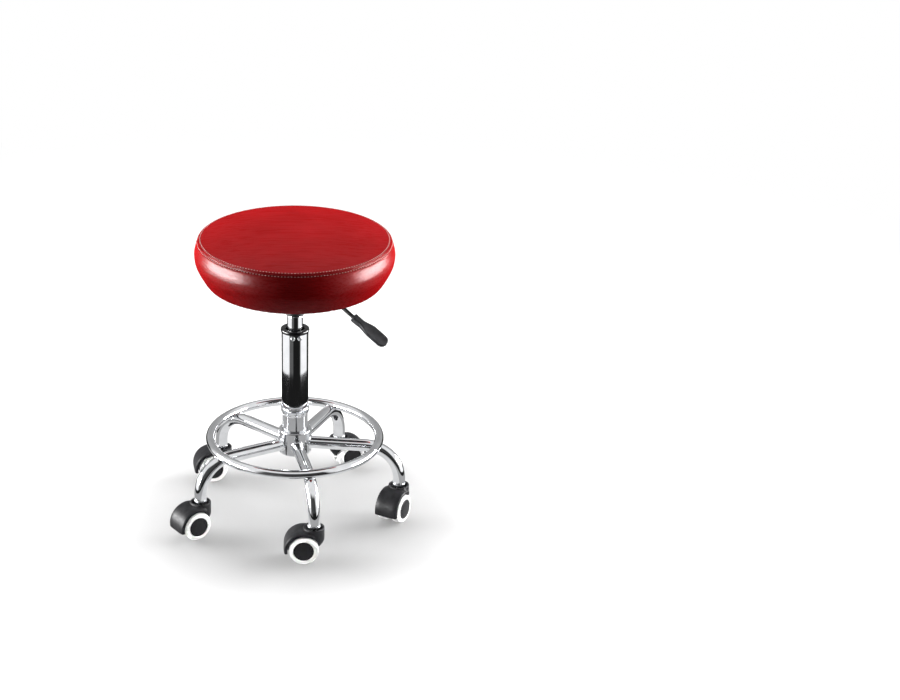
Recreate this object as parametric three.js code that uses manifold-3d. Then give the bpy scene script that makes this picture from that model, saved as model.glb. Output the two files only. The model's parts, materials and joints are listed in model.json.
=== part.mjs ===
// Rolling stylist stool: a round padded seat on a gas lift, over a five-legged base with a foot ring
// and twin-wheel casters. Millimetres, +Z up. The origin is on the floor, under the axis of the lift,
// and -Y is the front. The lift stands 40 mm above its lowest position.

import * as THREE from 'three';
import { mergeVertices } from 'three/addons/utils/BufferGeometryUtils.js';
import Module from 'manifold-3d';

const wasm = await Module();
wasm.setup();

// Clearance between neighbouring pieces.
const GAP = 0.3;

// Facets round the pieces of each size.
const SEAT_SIDES = 32;
const RING_SIDES = 40;
const TUBE_SIDES = 20;
const BEARING_SIDES = 16;
const SHAFT_SIDES = 10;
const BAR_SIDES = 10;

// Seat cushion. Its side swells between the foot and the seam, and its top is a shallow crown.
const SEAT_TOP = 540;
const SEAT_BOTTOM = 451;
const SEAM_RADIUS = 168;
const SEAM_HEIGHT = 529.5;
const FOOT_RADIUS = 156;
const FOOT_ROUND = 3;
const SIDE_BULGE = 12;
const BULGE_POWER = 1.1;
const CROWN_POWER = 2.4;
const COVER_THICKNESS = 1.5;
const FOAM_CLEARANCE = 1.5;
const TUCK_RADIUS = 144;
const BOARD_RADIUS = 152.5;
const BOARD_THICKNESS = 12;
const DUST_COVER_THICKNESS = 1.2;
const SIDE_STEPS = 5;
const CROWN_STEPS = 3;

// Seat plate, with the channel that the lever turns in, and the socket for the lift's taper.
const PLATE_SIDE = 150;
const PLATE_CORNER = 14;
const PLATE_THICKNESS = 3;
const PLATE_TOP = 450.5;
const CHANNEL_WIDTH = 31;
const CHANNEL_WALL = 2.5;
const CHANNEL_BACK = -20;
const CHANNEL_MOUTH = 46;
const CHANNEL_BOTTOM = 422.3;
const BOLT_SPACING = 116;
const BOLT_RADIUS = 3;
const BOLT_HEAD_RADIUS = 5.8;
const BOLT_HEAD_HEIGHT = 4.2;
const BOLT_LENGTH = 16;
const SOCKET_RADIUS = 16;
const SOCKET_BOTTOM = 386;

// Height lever. It points to the front right of the seat, and droops towards its handle.
const LEVER_AZIMUTH = -30;
const LEVER_HEIGHT = 434.5;
const LEVER_PIVOT = 24;
const LEVER_ROD_RADIUS = 3.5;
const LEVER_STRAIGHT = 30;
const LEVER_BEND = 40;
const LEVER_DROOP = 32;
const LEVER_TAIL = 64;
const TONGUE_START = -5;
const TONGUE_END = 32;
const TONGUE_SIDE = 8;
const PIVOT_PIN_RADIUS = 2;
const HANDLE_LENGTH = 76;
const HANDLE_WIDTH = 24;
const HANDLE_THICKNESS = 6;
const HANDLE_NECK_SIDE = 12.4;
const HANDLE_NECK_LENGTH = 18;
const HANDLE_TAPER_START = 12;
const HANDLE_TAPER_END = 42;
const HANDLE_TWIST = 20;
const HANDLE_OVERLAP = 22;

// Gas lift: a cylinder that carries the seat, on a piston rod that stands in the column.
const CYLINDER_RADIUS = 14;
const CYLINDER_BORE = 11.3;
const CYLINDER_BOTTOM = 180;
const CYLINDER_TOP = 420;
const TAPER_BOTTOM = 386.5;
const TAPER_RADII = [13.6, 12.6];
const ROD_RADIUS = 4;
const ROD_BOTTOM = 114;
const ROD_TOP = 318;
const PISTON_BOTTOM = 306;
const PISTON_HEIGHT = 10;
const GLAND_HEIGHT = 12;
const VALVE_PIN_RADIUS = 3.5;
const VALVE_PIN_BOTTOM = 408;
const VALVE_PIN_TOP = 429.5;

// Column: an outer tube whose narrower foot stands in the base's hub tube.
const COLUMN_RADIUS = 24;
const COLUMN_BORE = 21;
const COLUMN_TOP = 357;
const SPIGOT_RADIUS = 20.1;
const SPIGOT_BORE = 17.8;
const SPIGOT_BOTTOM = 122.3;
const END_PLATE = 3;
const CAP_RADIUS = 25.5;
const CAP_TOP = 361;
const CAP_SKIRT = 2;
const CAP_BORE = 16.6;
const CAP_PLUG = 15;
const BUSH_BOTTOM = 296;
const SCREW_HEIGHT = 349.5;
const SCREW_AZIMUTHS = [-98, -72];
const RACE_RADIUS = 14;
const RACE_THICKNESS = 1.8;
const CAGE_THICKNESS = 3.6;

// Base: a hub tube in a sleeve, and five legs that curve down to the casters.
const HUB_TUBE_RADIUS = 22.7;
const HUB_TUBE_BORE = 20.4;
const HUB_TUBE_BOTTOM = 121;
const HUB_TUBE_TOP = 209.7;
const HUB_RIM_RADIUS = 25;
const SLEEVE_RADIUS = 29;
const SLEEVE_BOTTOM = 120;
const SLEEVE_TOP = 165;
const LEG_COUNT = 5;
const FRONT_LEG_AZIMUTH = -80;
const LEG_RADIUS = 11;
const LEG_BORE = 9.5;
const LEG_HEIGHT = 138;
const LEG_BEND = 62;
const LEG_END = 68;
const LEG_START = 20;
const LEG_STEPS = 13;
const CASTER_CIRCLE = 190;
const RING_RADIUS = 152;
const RING_TUBE_RADIUS = 8;
const RING_HEIGHT = 147;

// Twin-wheel caster. Its wheels trail behind its stem.
const WHEEL_RADIUS = 26;
const WHEEL_SIDES = 18;
const WHEEL_INNER_FACE = 6.5;
const WHEEL_OUTER_FACE = 22;
const WHEEL_CAP_RADIUS = 19.5;
const WHEEL_CAP_FACE = 24.6;
const AXLE_RADIUS = 3;
const AXLE_HALF = 19;
const TRAIL = 18;
const HOOD_HALF_WIDTH = 22;
const WEB_HALF_WIDTH = 6;
const HOOD_RADIUS = 35;
const WHEEL_WELL_RADIUS = 28.5;
const HOOD_BOSS_RADIUS = 18.5;
const HOOD_BOSS_TOP = 63.5;
const HOOD_RECESS_RADIUS = 15.5;
const HOOD_RECESS_FLOOR = 59.5;
const STEM_PIN_RADIUS = 4.2;
const STEM_PIN_BOTTOM = 35;
const STEM_FLANGE_RADIUS = 11;
// Direction that each caster trails in, from the front leg's anticlockwise.
const CASTER_AZIMUTHS = [180, 240, 23, 188, 214];

const FINISHES = {
  chrome: { color: 0xd9dcdf, metalness: 1, roughness: 0.08 },
  steel: { color: 0x9a9ca0, metalness: 1, roughness: 0.35 },
  blackSteel: { color: 0x17181a, metalness: 0.4, roughness: 0.45 },
  blackNylon: { color: 0x1d1d1f, metalness: 0, roughness: 0.5 },
  greyNylon: { color: 0x4a4c50, metalness: 0, roughness: 0.5 },
  whiteTread: { color: 0xe8e8e6, metalness: 0, roughness: 0.55 },
  leather: { color: 0xa31526, metalness: 0, roughness: 0.38 },
  foam: { color: 0xd9cfa8, metalness: 0, roughness: 0.95 },
  plywood: { color: 0xb58d5c, metalness: 0, roughness: 0.75 },
  fabric: { color: 0x222224, metalness: 0, roughness: 0.95 },
  brass: { color: 0xb08d4a, metalness: 1, roughness: 0.35 },
};

const stool = new THREE.Group();

function addPiece(parent, name, geometry, finish) {
  const mesh = new THREE.Mesh(geometry, new THREE.MeshStandardMaterial(FINISHES[finish]));
  mesh.name = name;
  parent.add(mesh);
}

// A solid turned about Z from a profile of [radius, height] points, listed anticlockwise.
function turned(profile, sides, startAngle = 0) {
  const points = profile.map(([radius, height]) => new THREE.Vector2(radius, height));
  if (points[0].x > 0) {
    points.push(points[0].clone());
  }
  return new THREE.LatheGeometry(points, sides, startAngle).rotateX(Math.PI / 2);
}

function rod(radius, bottom, top, sides) {
  return turned([[0, bottom], [radius, bottom], [radius, top], [0, top]], sides);
}

function washer(bore, radius, bottom, top, sides) {
  return turned([[bore, bottom], [radius, bottom], [radius, top], [bore, top]], sides);
}

// A rod that lies along Y, centred on the axis.
function crossRod(radius, halfLength, sides) {
  return rod(radius, -halfLength, halfLength, sides).rotateX(-Math.PI / 2);
}

function block(x0, x1, y0, y1, z0, z1) {
  const geometry = new THREE.BoxGeometry(x1 - x0, y1 - y0, z1 - z0);
  return geometry.translate((x0 + x1) / 2, (y0 + y1) / 2, (z0 + z1) / 2);
}

function toSolid(geometry) {
  const bare = geometry.clone();
  bare.deleteAttribute('normal');
  bare.deleteAttribute('uv');
  const merged = mergeVertices(bare, 1e-3);
  const corners = merged.index.array;
  const triangles = [];
  for (let i = 0; i < corners.length; i += 3) {
    const [a, b, c] = corners.slice(i, i + 3);
    if (a !== b && b !== c && c !== a) {
      triangles.push(a, b, c);
    }
  }
  return new wasm.Manifold(new wasm.Mesh({
    numProp: 3,
    vertProperties: merged.attributes.position.array,
    triVerts: new Uint32Array(triangles),
  }));
}

function toGeometry(manifold) {
  const mesh = manifold.getMesh();
  const geometry = new THREE.BufferGeometry();
  geometry.setAttribute('position', new THREE.BufferAttribute(mesh.vertProperties, 3));
  geometry.setIndex(new THREE.BufferAttribute(mesh.triVerts, 1));
  geometry.computeVertexNormals();
  return geometry;
}

function cut(geometry, ...tools) {
  return toGeometry(tools.reduce((left, tool) => left.subtract(toSolid(tool)), toSolid(geometry)));
}

function join(geometry, ...others) {
  return toGeometry(others.reduce((left, other) => left.add(toSolid(other)), toSolid(geometry)));
}

function overlap(geometry, other) {
  return toGeometry(toSolid(geometry).intersect(toSolid(other)));
}

// A path in the XZ plane: straight out along +X, round a bend downwards, then straight on.
class BentCurve extends THREE.Curve {
  constructor(start, height, lead, bend, turn, tail) {
    super();
    Object.assign(this, { start, height, lead, bend, turn, tail });
  }

  getPoint(t, target = new THREE.Vector3()) {
    const arc = this.bend * this.turn;
    const distance = t * (this.lead + arc + this.tail);
    const angle = THREE.MathUtils.clamp((distance - this.lead) / this.bend, 0, this.turn);
    const before = Math.min(distance, this.lead);
    const after = Math.max(distance - this.lead - arc, 0);
    const x = this.start + before + this.bend * Math.sin(angle) + after * Math.cos(this.turn);
    const z = this.height - this.bend * (1 - Math.cos(angle)) - after * Math.sin(this.turn);
    return target.set(x, 0, z);
  }
}

function roundBar(curve, radius, sides, steps) {
  const section = new THREE.Shape();
  for (let i = 0; i < sides; i += 1) {
    const angle = 2 * Math.PI * i / sides;
    const x = radius * Math.cos(angle);
    const y = radius * Math.sin(angle);
    if (i === 0) {
      section.moveTo(x, y);
    } else {
      section.lineTo(x, y);
    }
  }
  return new THREE.ExtrudeGeometry(section, { steps, bevelEnabled: false, extrudePath: curve });
}

// Points on a circle, for a profile or an outline.
function arcPoints(x, y, radius, fromDegrees, toDegrees, steps) {
  return Array.from({ length: steps + 1 }, (_, i) => {
    const angle = THREE.MathUtils.degToRad(fromDegrees + (toDegrees - fromDegrees) * i / steps);
    return [x + radius * Math.cos(angle), y + radius * Math.sin(angle)];
  });
}

// Seat

function sideRadius(height) {
  const foot = SEAT_BOTTOM + FOOT_ROUND;
  const t = (height - foot) / (SEAM_HEIGHT - foot);
  const bulge = SIDE_BULGE * Math.sin(Math.PI * t ** BULGE_POWER);
  return FOOT_RADIUS + (SEAM_RADIUS - FOOT_RADIUS) * t + bulge;
}

function crownHeight(radius) {
  return SEAM_HEIGHT + (SEAT_TOP - SEAM_HEIGHT) * (1 - (radius / SEAM_RADIUS) ** CROWN_POWER);
}

// The cushion's outline, set in from the outside, from a height on its side to the middle of its top.
function seatOutline(from, inset) {
  const outline = [];
  for (let i = 0; i < SIDE_STEPS; i += 1) {
    const height = from + (SEAM_HEIGHT - from) * i / SIDE_STEPS;
    outline.push([sideRadius(height) - inset, height]);
  }
  for (let i = 0; i <= CROWN_STEPS; i += 1) {
    const radius = SEAM_RADIUS * (1 - i / CROWN_STEPS);
    outline.push([Math.max(radius - inset, 0), crownHeight(radius) - inset]);
  }
  return outline;
}

function boltPlaces() {
  const half = BOLT_SPACING / 2;
  return [[half, half], [-half, half], [-half, -half], [half, -half]];
}

function boltHoles() {
  return boltPlaces().map(([x, y]) => (
    rod(BOLT_RADIUS + GAP, SEAT_BOTTOM - 20, SEAT_TOP - 40, SHAFT_SIDES).translate(x, y, 0)
  ));
}

function addSeat() {
  const seat = new THREE.Group();
  const lip = SEAT_BOTTOM + COVER_THICKNESS;
  const inside = seatOutline(SEAT_BOTTOM + FOOT_ROUND, COVER_THICKNESS).reverse();
  const outside = seatOutline(SEAT_BOTTOM + FOOT_ROUND, 0);
  const tuck = [
    [FOOT_RADIUS - FOOT_ROUND, lip],
    [TUCK_RADIUS, lip],
    [TUCK_RADIUS, SEAT_BOTTOM],
    [FOOT_RADIUS - FOOT_ROUND, SEAT_BOTTOM],
  ];
  addPiece(seat, 'seat_cover', turned([...inside, ...tuck, ...outside], SEAT_SIDES), 'leather');

  const boardBottom = lip + GAP;
  const boardTop = boardBottom + BOARD_THICKNESS;
  const foamInset = COVER_THICKNESS + FOAM_CLEARANCE;
  const foamProfile = [[0, boardTop + GAP], ...seatOutline(boardTop + GAP, foamInset)];
  addPiece(seat, 'seat_foam', turned(foamProfile, SEAT_SIDES), 'foam');

  const board = rod(BOARD_RADIUS, boardBottom, boardTop, SEAT_SIDES);
  addPiece(seat, 'seat_board', cut(board, ...boltHoles()), 'plywood');

  const dustTop = SEAT_BOTTOM + DUST_COVER_THICKNESS;
  const dustCover = rod(TUCK_RADIUS - 1, SEAT_BOTTOM, dustTop, SEAT_SIDES);
  addPiece(seat, 'dust_cover', cut(dustCover, ...boltHoles()), 'fabric');
  stool.add(seat);
}

function roundedSquare(side, corner) {
  const half = side / 2;
  const shape = new THREE.Shape();
  shape.moveTo(half - corner, -half);
  shape.absarc(half - corner, corner - half, corner, -Math.PI / 2, 0);
  shape.absarc(half - corner, half - corner, corner, 0, Math.PI / 2);
  shape.absarc(corner - half, half - corner, corner, Math.PI / 2, Math.PI);
  shape.absarc(corner - half, corner - half, corner, Math.PI, 1.5 * Math.PI);
  return shape;
}

function addSeatPlate() {
  const plateBottom = PLATE_TOP - PLATE_THICKNESS;
  const plate = new THREE.ExtrudeGeometry(roundedSquare(PLATE_SIDE, PLATE_CORNER), {
    depth: PLATE_THICKNESS,
    bevelEnabled: false,
    curveSegments: 4,
  }).translate(0, 0, plateBottom);
  const half = CHANNEL_WIDTH / 2;
  const inner = half - CHANNEL_WALL;
  const channelTop = plateBottom + PLATE_THICKNESS / 2;
  const channel = cut(
    block(CHANNEL_BACK, CHANNEL_MOUTH, -half, half, CHANNEL_BOTTOM, channelTop),
    block(
      CHANNEL_BACK + CHANNEL_WALL, CHANNEL_MOUTH + 10,
      -inner, inner,
      CHANNEL_BOTTOM + CHANNEL_WALL, plateBottom,
    ),
    rod(VALVE_PIN_RADIUS + 1.5, CHANNEL_BOTTOM - 5, CHANNEL_BOTTOM + 5, SHAFT_SIDES),
    crossRod(PIVOT_PIN_RADIUS + GAP, CHANNEL_WIDTH, SHAFT_SIDES).translate(LEVER_PIVOT, 0, LEVER_HEIGHT),
  ).rotateZ(THREE.MathUtils.degToRad(LEVER_AZIMUTH));
  addPiece(stool, 'seat_plate', cut(join(plate, channel), ...boltHoles()), 'blackSteel');

  boltPlaces().forEach(([x, y], i) => {
    const headTop = plateBottom - GAP;
    const head = rod(BOLT_HEAD_RADIUS, headTop - BOLT_HEAD_HEIGHT, headTop, 6);
    const shank = rod(BOLT_RADIUS, headTop - 1, headTop + BOLT_LENGTH, SHAFT_SIDES);
    addPiece(stool, `seat_bolt_${i + 1}`, join(head, shank).translate(x, y, 0), 'steel');
  });

  const socket = turned([
    [TAPER_RADII[0] + GAP, SOCKET_BOTTOM],
    [SOCKET_RADIUS, SOCKET_BOTTOM],
    [SOCKET_RADIUS, CHANNEL_BOTTOM - GAP],
    [TAPER_RADII[1] + GAP, CHANNEL_BOTTOM - GAP],
    [TAPER_RADII[1] + GAP, CYLINDER_TOP],
  ], TUBE_SIDES);
  addPiece(stool, 'taper_socket', socket, 'blackSteel');
}

// Height lever

// A slab whose outline lies in the XY plane.
function slab(outline, bottom, height) {
  const shape = new THREE.Shape(outline.map(([x, y]) => new THREE.Vector2(x, y)));
  return new THREE.ExtrudeGeometry(shape, { depth: height, bevelEnabled: false }).translate(0, 0, bottom);
}

// The grip along +X: a square neck that thins from below and widens into a flat paddle.
function handleGrip() {
  const neck = HANDLE_NECK_SIDE / 2;
  const tip = HANDLE_WIDTH / 2;
  const seenFromAbove = [
    [0, -neck],
    [HANDLE_NECK_LENGTH, -neck],
    [HANDLE_TAPER_END, -tip],
    ...arcPoints(HANDLE_LENGTH - tip, 0, tip, -90, 90, 6),
    [HANDLE_TAPER_END, tip],
    [HANDLE_NECK_LENGTH, neck],
    [0, neck],
  ];
  const seenFromTheSide = [
    [0, -neck],
    [HANDLE_TAPER_START, -neck],
    [HANDLE_TAPER_END, neck - HANDLE_THICKNESS],
    [HANDLE_LENGTH, neck - HANDLE_THICKNESS],
    [HANDLE_LENGTH, neck],
    [0, neck],
  ];
  const side = slab(seenFromTheSide, -HANDLE_WIDTH, 2 * HANDLE_WIDTH).rotateX(Math.PI / 2);
  return overlap(slab(seenFromAbove, -HANDLE_WIDTH, 2 * HANDLE_WIDTH), side);
}

function addLever() {
  const lever = new THREE.Group();
  lever.rotation.z = THREE.MathUtils.degToRad(LEVER_AZIMUTH);
  const half = TONGUE_SIDE / 2;
  const droop = THREE.MathUtils.degToRad(LEVER_DROOP);
  const rodStart = TONGUE_END - 2;
  const curve = new BentCurve(rodStart, LEVER_HEIGHT, LEVER_STRAIGHT, LEVER_BEND, droop, LEVER_TAIL);
  const tongue = cut(
    block(TONGUE_START, TONGUE_END, -half, half, LEVER_HEIGHT - half, LEVER_HEIGHT + half),
    crossRod(PIVOT_PIN_RADIUS + GAP, TONGUE_SIDE, SHAFT_SIDES).translate(LEVER_PIVOT, 0, LEVER_HEIGHT),
  );
  addPiece(lever, 'lever_rod', join(tongue, roundBar(curve, LEVER_ROD_RADIUS, 8, 8)), 'blackSteel');

  const pivotPin = crossRod(PIVOT_PIN_RADIUS, CHANNEL_WIDTH / 2 + 1.5, SHAFT_SIDES);
  addPiece(lever, 'lever_pivot_pin', pivotPin.translate(LEVER_PIVOT, 0, LEVER_HEIGHT), 'steel');

  const rodEnd = curve.getPoint(1);
  const rodHole = rod(LEVER_ROD_RADIUS + 2 * GAP, -5, HANDLE_OVERLAP + GAP, SHAFT_SIDES).rotateY(Math.PI / 2);
  const handle = cut(handleGrip(), rodHole)
    .translate(-HANDLE_OVERLAP, 0, 0)
    .rotateX(THREE.MathUtils.degToRad(HANDLE_TWIST))
    .rotateY(droop)
    .translate(rodEnd.x, 0, rodEnd.z);
  addPiece(lever, 'lever_handle', handle, 'greyNylon');
  stool.add(lever);
}

// Gas lift

function addGasLift() {
  const cylinder = turned([
    [CYLINDER_BORE, CYLINDER_BOTTOM],
    [CYLINDER_RADIUS, CYLINDER_BOTTOM],
    [CYLINDER_RADIUS, TAPER_BOTTOM - 1.5],
    [TAPER_RADII[0], TAPER_BOTTOM],
    [TAPER_RADII[1], CYLINDER_TOP],
    [VALVE_PIN_RADIUS + GAP, CYLINDER_TOP],
    [VALVE_PIN_RADIUS + GAP, CYLINDER_TOP - 8],
    [CYLINDER_BORE, CYLINDER_TOP - 8],
  ], TUBE_SIDES);
  addPiece(stool, 'gas_cylinder', cylinder, 'chrome');
  const glandBottom = CYLINDER_BOTTOM + GAP;
  const gland = washer(
    ROD_RADIUS + GAP, CYLINDER_BORE - GAP, glandBottom, glandBottom + GLAND_HEIGHT, BEARING_SIDES,
  );
  addPiece(stool, 'cylinder_gland', gland, 'brass');
  addPiece(stool, 'release_pin', rod(VALVE_PIN_RADIUS, VALVE_PIN_BOTTOM, VALVE_PIN_TOP, SHAFT_SIDES), 'steel');

  const plateTop = SPIGOT_BOTTOM + END_PLATE;
  const lowerRace = plateTop + GAP;
  const cage = lowerRace + RACE_THICKNESS + GAP;
  const upperRace = cage + CAGE_THICKNESS + GAP;
  const shoulder = upperRace + RACE_THICKNESS + GAP;
  addPiece(
    stool, 'bearing_race_lower',
    washer(ROD_RADIUS + 1.6, RACE_RADIUS, lowerRace, lowerRace + RACE_THICKNESS, BEARING_SIDES), 'steel',
  );
  addPiece(
    stool, 'bearing_cage',
    washer(ROD_RADIUS + 1.6, RACE_RADIUS - 1, cage, cage + CAGE_THICKNESS, BEARING_SIDES), 'brass',
  );
  addPiece(
    stool, 'bearing_race_upper',
    washer(ROD_RADIUS + GAP, RACE_RADIUS, upperRace, upperRace + RACE_THICKNESS, BEARING_SIDES), 'steel',
  );

  const pistonRod = turned([
    [0, ROD_BOTTOM],
    [ROD_RADIUS, ROD_BOTTOM],
    [ROD_RADIUS, shoulder],
    [ROD_RADIUS + 4, shoulder],
    [ROD_RADIUS + 4, shoulder + 4],
    [ROD_RADIUS, shoulder + 4],
    [ROD_RADIUS, PISTON_BOTTOM - 3],
    [ROD_RADIUS + 2, PISTON_BOTTOM - 3],
    [ROD_RADIUS + 2, PISTON_BOTTOM - GAP],
    [ROD_RADIUS, PISTON_BOTTOM - GAP],
    [ROD_RADIUS, ROD_TOP],
    [0, ROD_TOP],
  ], SHAFT_SIDES);
  addPiece(stool, 'piston_rod', pistonRod, 'chrome');
  const pistonTop = PISTON_BOTTOM + PISTON_HEIGHT;
  const piston = washer(ROD_RADIUS + GAP, CYLINDER_BORE - GAP, PISTON_BOTTOM, pistonTop, BEARING_SIDES);
  addPiece(stool, 'piston', piston, 'blackNylon');

  const clipTop = SPIGOT_BOTTOM - GAP;
  const clip = cut(
    washer(ROD_RADIUS + GAP, ROD_RADIUS + 5, clipTop - 2.2, clipTop, BEARING_SIDES),
    block(0, 20, -ROD_RADIUS + 1, ROD_RADIUS - 1, clipTop - 5, clipTop + 5),
  );
  addPiece(stool, 'retaining_clip', clip, 'steel');
}

// Column

function addColumn() {
  const step = HUB_TUBE_TOP + GAP;
  const screwHoles = SCREW_AZIMUTHS.map((azimuth) => (
    rod(1.9, CYLINDER_RADIUS + 3, CAP_RADIUS + 5, 8)
      .rotateY(Math.PI / 2)
      .rotateZ(THREE.MathUtils.degToRad(azimuth))
      .translate(0, 0, SCREW_HEIGHT)
  ));
  const tube = turned([
    [ROD_RADIUS + 1.6, SPIGOT_BOTTOM],
    [SPIGOT_RADIUS, SPIGOT_BOTTOM],
    [SPIGOT_RADIUS, step],
    [COLUMN_RADIUS, step],
    [COLUMN_RADIUS, COLUMN_TOP],
    [COLUMN_BORE, COLUMN_TOP],
    [COLUMN_BORE, step + 5],
    [SPIGOT_BORE, step + 3],
    [SPIGOT_BORE, SPIGOT_BOTTOM + END_PLATE],
    [ROD_RADIUS + 1.6, SPIGOT_BOTTOM + END_PLATE],
  ], TUBE_SIDES);
  addPiece(stool, 'column_tube', cut(tube, ...screwHoles), 'chrome');

  // The cap's plug stands in the tube, and the seat's socket sinks into its bore when the lift is down.
  const seatOfCap = COLUMN_TOP + GAP;
  const plugBottom = COLUMN_TOP - CAP_PLUG;
  const cap = turned([
    [CAP_BORE, plugBottom],
    [COLUMN_BORE - GAP, plugBottom],
    [COLUMN_BORE - GAP, seatOfCap],
    [COLUMN_RADIUS + GAP, seatOfCap],
    [COLUMN_RADIUS + GAP, COLUMN_TOP - CAP_SKIRT],
    [CAP_RADIUS, COLUMN_TOP - CAP_SKIRT],
    [CAP_RADIUS, CAP_TOP - 3],
    [CAP_RADIUS - 3, CAP_TOP],
    [CAP_BORE, CAP_TOP],
  ], TUBE_SIDES);
  addPiece(stool, 'column_cap', cut(cap, ...screwHoles), 'blackNylon');

  const bush = washer(
    CYLINDER_RADIUS + GAP, COLUMN_BORE - GAP, BUSH_BOTTOM, plugBottom - GAP, TUBE_SIDES,
  );
  addPiece(stool, 'guide_bush', bush, 'blackNylon');

  SCREW_AZIMUTHS.forEach((azimuth, i) => {
    const head = COLUMN_RADIUS + GAP;
    const screw = turned([
      [0, CYLINDER_RADIUS + 4],
      [1.6, CYLINDER_RADIUS + 4],
      [1.6, head],
      [3.8, head],
      [3.3, head + 1.3],
      [0, head + 2],
    ], SHAFT_SIDES)
      .rotateY(Math.PI / 2)
      .rotateZ(THREE.MathUtils.degToRad(azimuth))
      .translate(0, 0, SCREW_HEIGHT);
    addPiece(stool, `guide_screw_${i + 1}`, screw, 'steel');
  });
}

// Base

function addHub() {
  const rimBottom = HUB_TUBE_TOP - 14;
  const tube = turned([
    [HUB_TUBE_BORE, HUB_TUBE_BOTTOM],
    [HUB_TUBE_RADIUS, HUB_TUBE_BOTTOM],
    [HUB_TUBE_RADIUS, rimBottom],
    [HUB_RIM_RADIUS, rimBottom + 3],
    [HUB_RIM_RADIUS, HUB_TUBE_TOP - 3],
    [HUB_RIM_RADIUS - 1.5, HUB_TUBE_TOP],
    [HUB_TUBE_BORE, HUB_TUBE_TOP],
  ], TUBE_SIDES);
  addPiece(stool, 'hub_tube', tube, 'chrome');
  const sleeve = washer(HUB_TUBE_RADIUS + GAP, SLEEVE_RADIUS, SLEEVE_BOTTOM, SLEEVE_TOP, TUBE_SIDES);
  addPiece(stool, 'hub_sleeve', sleeve, 'chrome');
}

function footRing(tubeRadius) {
  const section = arcPoints(RING_RADIUS, RING_HEIGHT, tubeRadius, -180, 180, BAR_SIDES);
  section.pop();
  return turned(section, RING_SIDES);
}

function legTube() {
  const lead = CASTER_CIRCLE - LEG_BEND - LEG_START;
  const tail = LEG_HEIGHT - LEG_BEND - LEG_END;
  const turn = Math.PI / 2;
  const centre = new BentCurve(LEG_START, LEG_HEIGHT, lead, LEG_BEND, turn, tail);
  const bore = new BentCurve(LEG_START - 8, LEG_HEIGHT, lead + 8, LEG_BEND, turn, tail + 8);
  return cut(
    roundBar(centre, LEG_RADIUS, BAR_SIDES, LEG_STEPS),
    roundBar(bore, LEG_BORE, BAR_SIDES - 2, LEG_STEPS),
  );
}

// Each leg is cut to fit the hub sleeve, and has a saddle for the foot ring.
function addLegs() {
  const saddle = footRing(RING_TUBE_RADIUS + GAP);
  const sleeveSpace = rod(SLEEVE_RADIUS + GAP, SLEEVE_BOTTOM - 20, SLEEVE_TOP + 20, TUBE_SIDES);
  for (let i = 0; i < LEG_COUNT; i += 1) {
    const azimuth = THREE.MathUtils.degToRad(FRONT_LEG_AZIMUTH + i * 360 / LEG_COUNT);
    const leg = cut(legTube().rotateZ(azimuth), saddle, sleeveSpace);
    addPiece(stool, `leg_${i + 1}`, leg, 'chrome');
  }
  addPiece(stool, 'foot_ring', footRing(RING_TUBE_RADIUS), 'chrome');
}

// Casters

function hoodGeometry() {
  const width = 2 * HOOD_HALF_WIDTH;
  const outline = [
    ...arcPoints(-TRAIL, WHEEL_RADIUS, HOOD_RADIUS, 172, 62, 7),
    [HOOD_BOSS_RADIUS, 54],
    [HOOD_BOSS_RADIUS, 42],
    [9, 31],
    ...arcPoints(-TRAIL, WHEEL_RADIUS, 13, -30, -150, 3),
  ].reverse();
  const shape = new THREE.Shape(outline.map(([x, y]) => new THREE.Vector2(x, y)));
  const body = new THREE.ExtrudeGeometry(shape, { depth: width, bevelEnabled: false })
    .translate(0, 0, -HOOD_HALF_WIDTH)
    .rotateX(Math.PI / 2);
  const boss = turned([
    [0, 40],
    [HOOD_BOSS_RADIUS, 40],
    [HOOD_BOSS_RADIUS, HOOD_BOSS_TOP - 2],
    [HOOD_BOSS_RADIUS - 2, HOOD_BOSS_TOP],
    [0, HOOD_BOSS_TOP],
  ], TUBE_SIDES - 4);
  const well = crossRod(WHEEL_WELL_RADIUS, HOOD_HALF_WIDTH, TUBE_SIDES);
  const wellShift = WEB_HALF_WIDTH + HOOD_HALF_WIDTH;
  return cut(
    join(body, boss),
    well.clone().translate(-TRAIL, wellShift, WHEEL_RADIUS),
    well.clone().translate(-TRAIL, -wellShift, WHEEL_RADIUS),
    crossRod(AXLE_RADIUS + GAP, HOOD_HALF_WIDTH, SHAFT_SIDES).translate(-TRAIL, 0, WHEEL_RADIUS),
    rod(HOOD_RECESS_RADIUS, HOOD_RECESS_FLOOR, HOOD_BOSS_TOP + 5, TUBE_SIDES - 4),
    rod(STEM_PIN_RADIUS + GAP, STEM_PIN_BOTTOM - GAP, HOOD_BOSS_TOP, SHAFT_SIDES),
  );
}

// A wheel on the +Z side of its axle, with one flat of its rim facing down when it lies along Y.
function wheelGeometry() {
  const rimRadius = WHEEL_RADIUS / Math.cos(Math.PI / WHEEL_SIDES);
  const boreRadius = AXLE_RADIUS + GAP;
  return turned([
    [0, AXLE_HALF + GAP],
    [boreRadius, AXLE_HALF + GAP],
    [boreRadius, WHEEL_INNER_FACE],
    [rimRadius, WHEEL_INNER_FACE],
    [rimRadius, WHEEL_OUTER_FACE - 2],
    [WHEEL_CAP_RADIUS, WHEEL_OUTER_FACE + 1],
    [0, WHEEL_CAP_FACE],
  ], WHEEL_SIDES, Math.PI / WHEEL_SIDES);
}

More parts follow.
